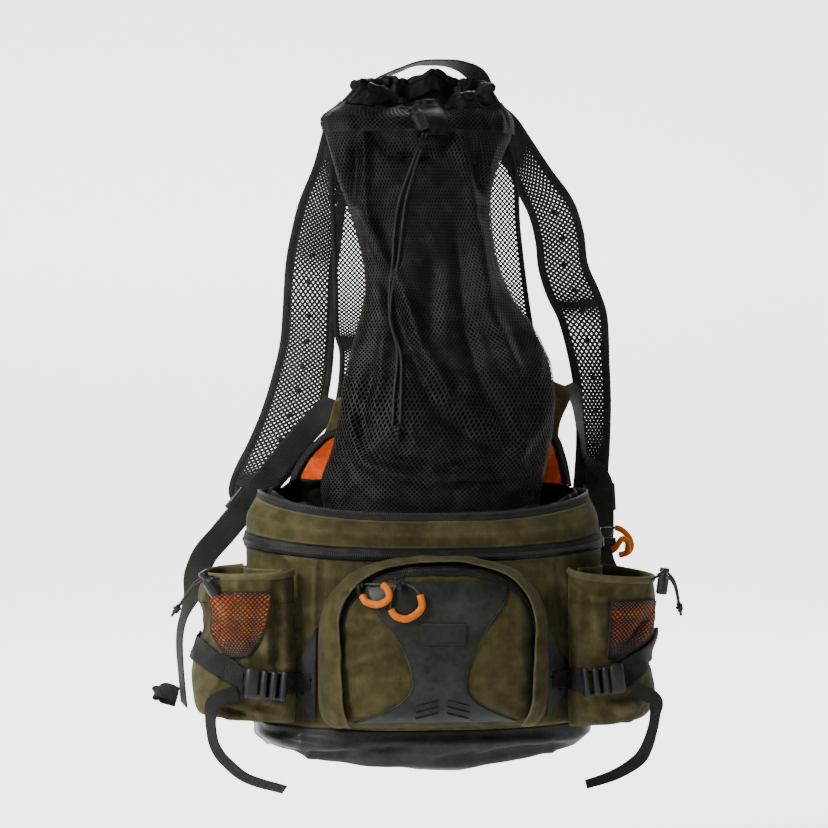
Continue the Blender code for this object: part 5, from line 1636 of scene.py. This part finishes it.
def moulded(size, place, bevel):
    """A moulded block with rounded edges, as a mesh."""
    bm = bmesh.new()
    bmesh.ops.create_cube(bm, size=1.0, matrix=Matrix.Diagonal((*size, 1.0)))
    bmesh.ops.bevel(bm, geom=bm.edges[:], offset=bevel, segments=3, profile=0.5, affect="EDGES",
                    material=-1)
    bmesh.ops.transform(bm, matrix=place, verts=bm.verts)
    return bm


def moulding(blocks, place, side=1):
    """One mesh from a table of blocks, turned over for the left side."""
    parts = []
    for block in blocks:
        x, y, z = block.offset
        parts.append(moulded(block.size, place @ Matrix.Translation((side * x, y, z)), block.bevel))
    return merged(*parts)


def make_ladder_lock(name):
    """The strap's ladder lock: a rounded cap, two rails and three bars."""
    side = SIDES[name]
    low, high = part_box(f"ladder_lock_{name}")
    centre = (low + high) / 2
    turn = Matrix.Rotation(math.radians(side * -6), 4, "Y")
    frame_place = Matrix.Translation(centre - Vector((0, 0.001, 0))) @ turn
    body = moulding(LOCK_BLOCKS, frame_place, side)
    finished(f"lock_body_{name}", body, "plastic", [f"ladder_lock_{name}"], 40)
    # A near-black strip under the lock: painted shadow that shows through its slots.
    under = moulded((0.04, 0.0014, 0.025), frame_place @ Matrix.Translation((0, 0.0048, 0)), 0.0005)
    finished(f"lock_webbing_shade_{name}", under, "shade", (), 40)


def foremost(x, z, grounds, otherwise=0.0):
    """How far forward the foremost of several pieces lies at x and z."""
    found = [ground.hit(x, z) for ground in grounds]
    return min([hit[0].y for hit in found if hit], default=otherwise)


def make_neck_tab(bag, collar):
    """The nylon tongue that hangs out of the mouth behind the cord lock."""
    def place(u, v):
        z = -0.044 - 0.032 * v
        x = -0.004 + 0.026 * u + 0.004 * v + 0.003 * math.sin(math.pi * u) * v
        lift = 0.0016 + 0.004 * math.sin(math.pi * u) * v
        return Vector((x, foremost(x, z, (bag, collar), -0.07) - lift, z))

    tab = grid(16, 20, place, span=(0.028, 0.035))
    evened(tab, 4)
    face_out(tab)
    finished("neck_tab", tab, "nylon", (), 180, NYLON)


def make_inner_rim():
    """The crumpled nylon drawn up inside the collar."""
    def surface(u, v):
        turn = ring_turn(u)
        point = body_point(-0.456 + 0.033 * v, turn, -0.006 - 0.004 * v)
        point.z += v * (0.003 + 0.012 * max(0.0, math.sin(turn)) + 0.004 * ruffle(point, 0.02, 105))
        return point

    def relief(p, u, v):
        return 0.0045 * ruffle(p, 0.026, 101) + 0.003 * crease(p, 0.02, 103) - 0.003

    rim = grid(220, 14, relieved(surface, relief), closed=True, span=(0.9, 0.03))
    finished("inner_nylon", rim, "nylon", (), 180, NYLON)


def make_pulls(dome, panel):
    """Two zip sliders on the front pocket, each with a looped cord and a soft grip."""
    def front(x, z, radius, lift):
        spots = [(x + i * radius, z + j * radius) for i in (-1, 0, 1) for j in (-1, 0, 1)]
        depth = min(foremost(*spot, (dome, panel), -0.15) for spot in spots)
        return Vector((x, depth - radius - lift, z))

    for i, (slider, grip) in enumerate(zip(SLIDERS, PULL_GRIPS), 1):
        line = run(upright(grip), 40)
        points = [front(p.x, p.z, 0.0034, 0.0007) for p in line]
        finished(f"grip_{i}", tube(points, 0.0034, 14), "rubber", [f"pull_grip_{i}"], 60)
        loops = []
        for end, bow in ((grip[0], -0.0035), (grip[-1], 0.0035)):
            middle = ((slider.x + end.x) / 2 + bow, (slider.z + end.z) / 2)
            route = [(slider.x, slider.z), middle, (end.x, end.z)]
            route = run([Vector((x, 0, z)) for x, z in route], 12)
            loops.append(tube([front(p.x, p.z, 0.0011, 0.0016) for p in route], 0.0011, 8))
        finished(f"grip_cord_{i}", merged(*loops), "pull_cord", [f"pull_cord_{i}"], 180)
        spot = front(slider.x, slider.z, 0.004, 0.0)
        parts = [
            moulded((0.0105, 0.005, 0.007), Matrix.Translation(spot), 0.0016),
            moulded((0.004, 0.0034, 0.01), Matrix.Translation(spot - Vector((0, 0.003, 0.004))),
                    0.0012),
        ]
        finished(f"slider_{i}", merged(*parts), "metal", (), 40)
    for i, grip in enumerate(SIDE_PULL_GRIPS, 1):
        points = rounded(run([Vector(p) for p in grip], 60), 25)
        finished(f"side_grip_{i}", tube(points[13:], 0.003, 12), "rubber", [f"side_pull_grip_{i}"], 60)
        finished(f"side_grip_cord_{i}", tube(points[:16], 0.0013, 8), "cord", (), 180)
    low = Vector(SIDE_PULL_GRIPS[0][1])
    parts = [moulded((0.012, 0.006, 0.009), Matrix.Translation(low + Vector(step)), 0.0018)
             for step in ((-0.006, -0.002, -0.004), (-0.004, -0.01, -0.014))]
    finished("side_sliders", merged(*parts), "plastic", (), 40)


def knot(name, centre, way, radius, replaces):
    """An overhand knot: a short turned body with a wound groove and a cut end."""
    way = way.normalized()
    aside = way.orthogonal().normalized()
    other = way.cross(aside)
    line = []
    for i in range(49):
        t = i / 48
        turn = 2 * math.pi * 2.2 * t
        reach = radius * (0.35 + 0.65 * math.sin(math.pi * t))
        out = (aside * math.cos(turn) + other * math.sin(turn)) * reach * 0.6
        line.append(centre + way * (0.008 * (t - 0.5)) + out)
    bm = tube(line, 0.0016, 8)
    tail = tube([centre + way * 0.002, centre + way * 0.009], 0.0014, 8)
    return finished(name, merged(bm, tail), "cord", replaces, 180)


def make_drawcord(bag):
    """The two strands from the cord lock down the bag's front to their knot."""
    low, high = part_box("bag_cord_lock")
    lock = (low + high) / 2
    tilt = Matrix.Rotation(math.radians(-28), 3, "Y")
    foot = lock + tilt @ Vector((0, 0, -0.0154))
    strands = []
    for name, side in SIDES.items():
        shift = side * 0.0019
        line = [foot + Vector((shift, 0, 0))]
        for i, p in enumerate(DRAWCORD_LINE):
            sway = side * 0.0016 * math.sin(0.9 * i)
            line.append(bag.in_front(p.x + shift + sway, p.z, CORD + 0.0008))
        points = run(line, 110)
        cord = finished(f"cord_{name}", tube(points, CORD, 10), "cord", [f"drawcord_{name}"], 180)
        strands.append((cord, points))
    end = DRAWCORD_LINE[-1]
    centre = bag.in_front(end.x, end.z - 0.0055, 0.005)
    tied = knot("cord_knot", centre, Vector((0.1, 0, -1)), 0.0042, ["drawcord_knot"])
    for i, (cord, points) in enumerate(strands):
        length = length_of(points)
        extra = [tied] if i == 0 else []
        tuple(points[0])
        [tuple(p) for p in points]


def make_bungees(pockets):
    """Each side pocket's elastic cord, from its hem through the cord lock to its knot."""
    for name, pocket in pockets.items():
        line = [Vector(p) for p in BUNGEES[name]]
        line[0] = pocket.lifted(line[0], 0.0012)
        points = run(line, 48)
        cord = finished(f"elastic_{name}", tube(points, BUNGEE, 10), "cord", [f"bungee_{name}"], 180)
        way = points[-1] - points[-3]
        centre = points[-1] + way.normalized() * 0.0048
        tied = knot(f"elastic_knot_{name}", centre, way, 0.004, [f"bungee_knot_{name}"])
        back = [p + Vector((0.0008, 0.0016, 0.003 * math.sin(math.pi * i / 48)))
                for i, p in enumerate(points)]
        second = finished(f"elastic_return_{name}", tube(back[8:], BUNGEE * 0.9, 8), "cord", (), 180)
        length = length_of(points)
        tuple(points[0])
        [tuple(p) for p in points]


def make_belt():
    """The padded hip belt, its waist webbing and the back pad, plainly finished."""
    for name, side in SIDES.items():
        def wing(u, v):
            row = along(WING_ROWS, u)
            after, before = along(WING_ROWS, min(1.0, u + 0.02)), along(WING_ROWS, max(0.0, u - 0.02))
            way = Vector((side * (after.x - before.x), after.y - before.y, 0)).normalized()
            normal = way.cross(Vector((0, 0, 1))) * side
            turn = 2 * math.pi * v
            height = row.half_height * power(math.sin(turn), 0.55)
            swell = 0.0026 + 0.0016 * abs(math.sin(math.pi * height / 0.03))
            ease = min(1.0, 14 * u, 14 * (1 - u)) ** 0.5
            reach = swell * power(math.cos(turn), 0.75) * ease
            middle = Vector((side * row.x, row.y, BELT_HEIGHT))
            return middle + normal * reach + Vector((0, 0, height * (0.6 + 0.4 * ease)))

        bm = grid(60, 48, wing, span=(0.17, 0.2))
        weld(bm)
        bmesh.ops.holes_fill(bm, edges=[e for e in bm.edges if e.is_boundary], sides=200)
        face_out(bm)
        pad = finished(f"wing_pad_{name}", bm, "nylon", [f"belt_wing_{name}"], 60)
        line = run(BELT_WEB_ROWS, 40)

        def web(u, v):
            row = along(line, v)
            return Vector((side * row.x, row.y, BELT_HEIGHT + row.half_height * (2 * u - 1)))

        bm = grid(8, 60, web, span=(0.038, 0.18))
        finished(f"waist_webbing_{name}", bm, "webbing", [f"belt_web_{name}"], 60, WEBBING, 0.0)
    make_back_pad()
    make_belt_buckle()


def make_back_pad():
    """A quilted pad with sewn channels, crowned on both faces."""
    size, centre = BACK_PAD_SIZE, Vector(BACK_PAD_CENTRE)

    def place(u, v):
        turn = 2 * math.pi * v
        x = size[0] / 2 * power(2 * u - 1, 0.85)
        pull = 1 - 0.05 * abs(2 * u - 1) ** 6
        z = size[2] / 2 * power(math.sin(turn), 0.45) * pull
        edge = min(1.0, 10 * u, 10 * (1 - u)) ** 0.5
        channel = 1 - 0.3 * math.exp(-((abs(x) - 0.038) / 0.0035) ** 2)
        channel *= 1 - 0.25 * math.exp(-((abs(z) - 0.03) / 0.0035) ** 2)
        y = size[1] / 2 * power(math.cos(turn), 0.6) * edge * channel
        return centre + Vector((x, y, z))

    bm = grid(96, 96, place, span=(0.23, 0.3))
    weld(bm)
    face_out(bm)
    pad = finished("pad_cloth", bm, "nylon", ["back_pad"], 60)


def make_belt_buckle():
    """A side-release buckle, closed: its two halves, the two prongs and the centre bar."""
    buckle = moulding(BUCKLE_BLOCKS, Matrix.Translation(BUCKLE_CENTRE))
    finished("waist_buckle", buckle, "plastic", ["belt_buckle"], 40)


def dress_kept_nodes():
    """Materials for the moulded pieces that keep the frame's own shape."""
    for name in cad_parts:
        for stem, finish in KEPT.items():
            if name.startswith(stem):
                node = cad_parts[name]
                for slot in node.material_slots:
                    slot.material = FINISHES[finish]
                if not node.material_slots:
                    node.data.materials.append(FINISHES[finish])


def make_camera():
    data = bpy.data.cameras.new("camera")
    turn = math.radians(CAMERA_TURN)
    data.sensor_width = 36.0
    data.lens = data.sensor_width * CAMERA_DISTANCE / PICTURE_WIDTH
    camera = bpy.data.objects.new("camera", data)
    away = Vector((math.sin(turn), -math.cos(turn), 0))
    camera.location = Vector(PICTURE_CENTRE) + CAMERA_DISTANCE * away
    camera.rotation_euler = (math.radians(90), 0, turn)
    bpy.context.scene.collection.objects.link(camera)
    bpy.context.scene.camera = camera


def make_light(light):
    data = bpy.data.lights.new(light.name, "AREA")
    data.spread = math.radians(light.spread)
    data.shape = "DISK"
    data.size = light.size
    data.energy = light.energy
    lamp = bpy.data.objects.new(light.name, data)
    lamp.location = light.place
    lamp.rotation_euler = (Vector(light.aim) - Vector(light.place)).to_track_quat("-Z", "Y").to_euler()
    bpy.context.scene.collection.objects.link(lamp)


def make_studio():
    """A white paper sweep under and behind the hanging pack, with soft light from the upper left."""
    front, back, floor, bend, top = -4.6, 4.2, -0.86, 0.9, 5.2

    def place(u, v):
        x = 15.0 * (u - 0.5)
        if v < 0.5:
            return Vector((x, front + (back - bend - front) * v / 0.5, floor))
        if v < 0.7:
            turn = math.pi / 2 * (v - 0.5) / 0.2
            return Vector((x, back - bend + bend * math.sin(turn), floor + bend * (1 - math.cos(turn))))
        return Vector((x, back, floor + bend + (top - floor - bend) * (v - 0.7) / 0.3))

    bm = grid(2, 80, place)
    bmesh.ops.reverse_faces(bm, faces=bm.faces)
    mesh = bpy.data.meshes.new("sweep")
    bm.to_mesh(mesh)
    bm.free()
    mesh.shade_smooth()
    sweep = bpy.data.objects.new("sweep", mesh)
    bpy.context.scene.collection.objects.link(sweep)
    paper = Finish("sweep_paper", (0.9, 0.9, 0.9), 0.9)
    spot = paper.place()
    across, depth = paper.axes(spot)
    away = depth.between(0.3, 0.72)
    aside = across.size().between(2.8, 1.9)
    paper.set("Emission Color", paper.mix(away * aside, (0.16, 0.16, 0.16), (1.0, 1.0, 1.0)))
    paper.set("Emission Strength", PAPER_GLOW)
    paper.bump(paper.noise(spot, 40, 2), 0.001, 0.05)
    mesh.materials.append(paper.material)
    world = bpy.data.worlds.new("sky")
    world.use_nodes = True
    sky, light = Nodes(world.node_tree), world.node_tree.nodes["Background"].inputs
    rays = sky.node("ShaderNodeLightPath", output="Is Camera Ray")
    values = {"Value": rays, "To Min": SKY_LIGHT, "To Max": SKY_SEEN}
    sky.feed(light["Color"], (0.96, 0.98, 1.0, 1.0))
    sky.feed(light["Strength"], sky.node("ShaderNodeMapRange", None, values))
    bpy.context.scene.world = world
    for light in LIGHTS:
        make_light(light)


make_camera()
make_studio()
dress_kept_nodes()
body = make_compartment()
dome = make_front_pocket()
panel = make_centre_panel(dome)
make_arch_flap(dome)
bag = make_game_bag()
collar = make_collar()
make_drawcord(bag)
make_neck_tab(bag, collar)
make_inner_rim()
make_back_net()
make_lid()
make_webbing()
make_buckle_webbing()
make_pulls(dome, panel)
pockets = {name: make_side_pocket(name) for name in SIDES}
make_bungees(pockets)
for name, pocket in pockets.items():
    make_shoulder_strap(name)
    make_pocket_window(name, pocket)
    make_compression_strap(name, body, pocket)
    make_ladder_lock(name)
make_belt()
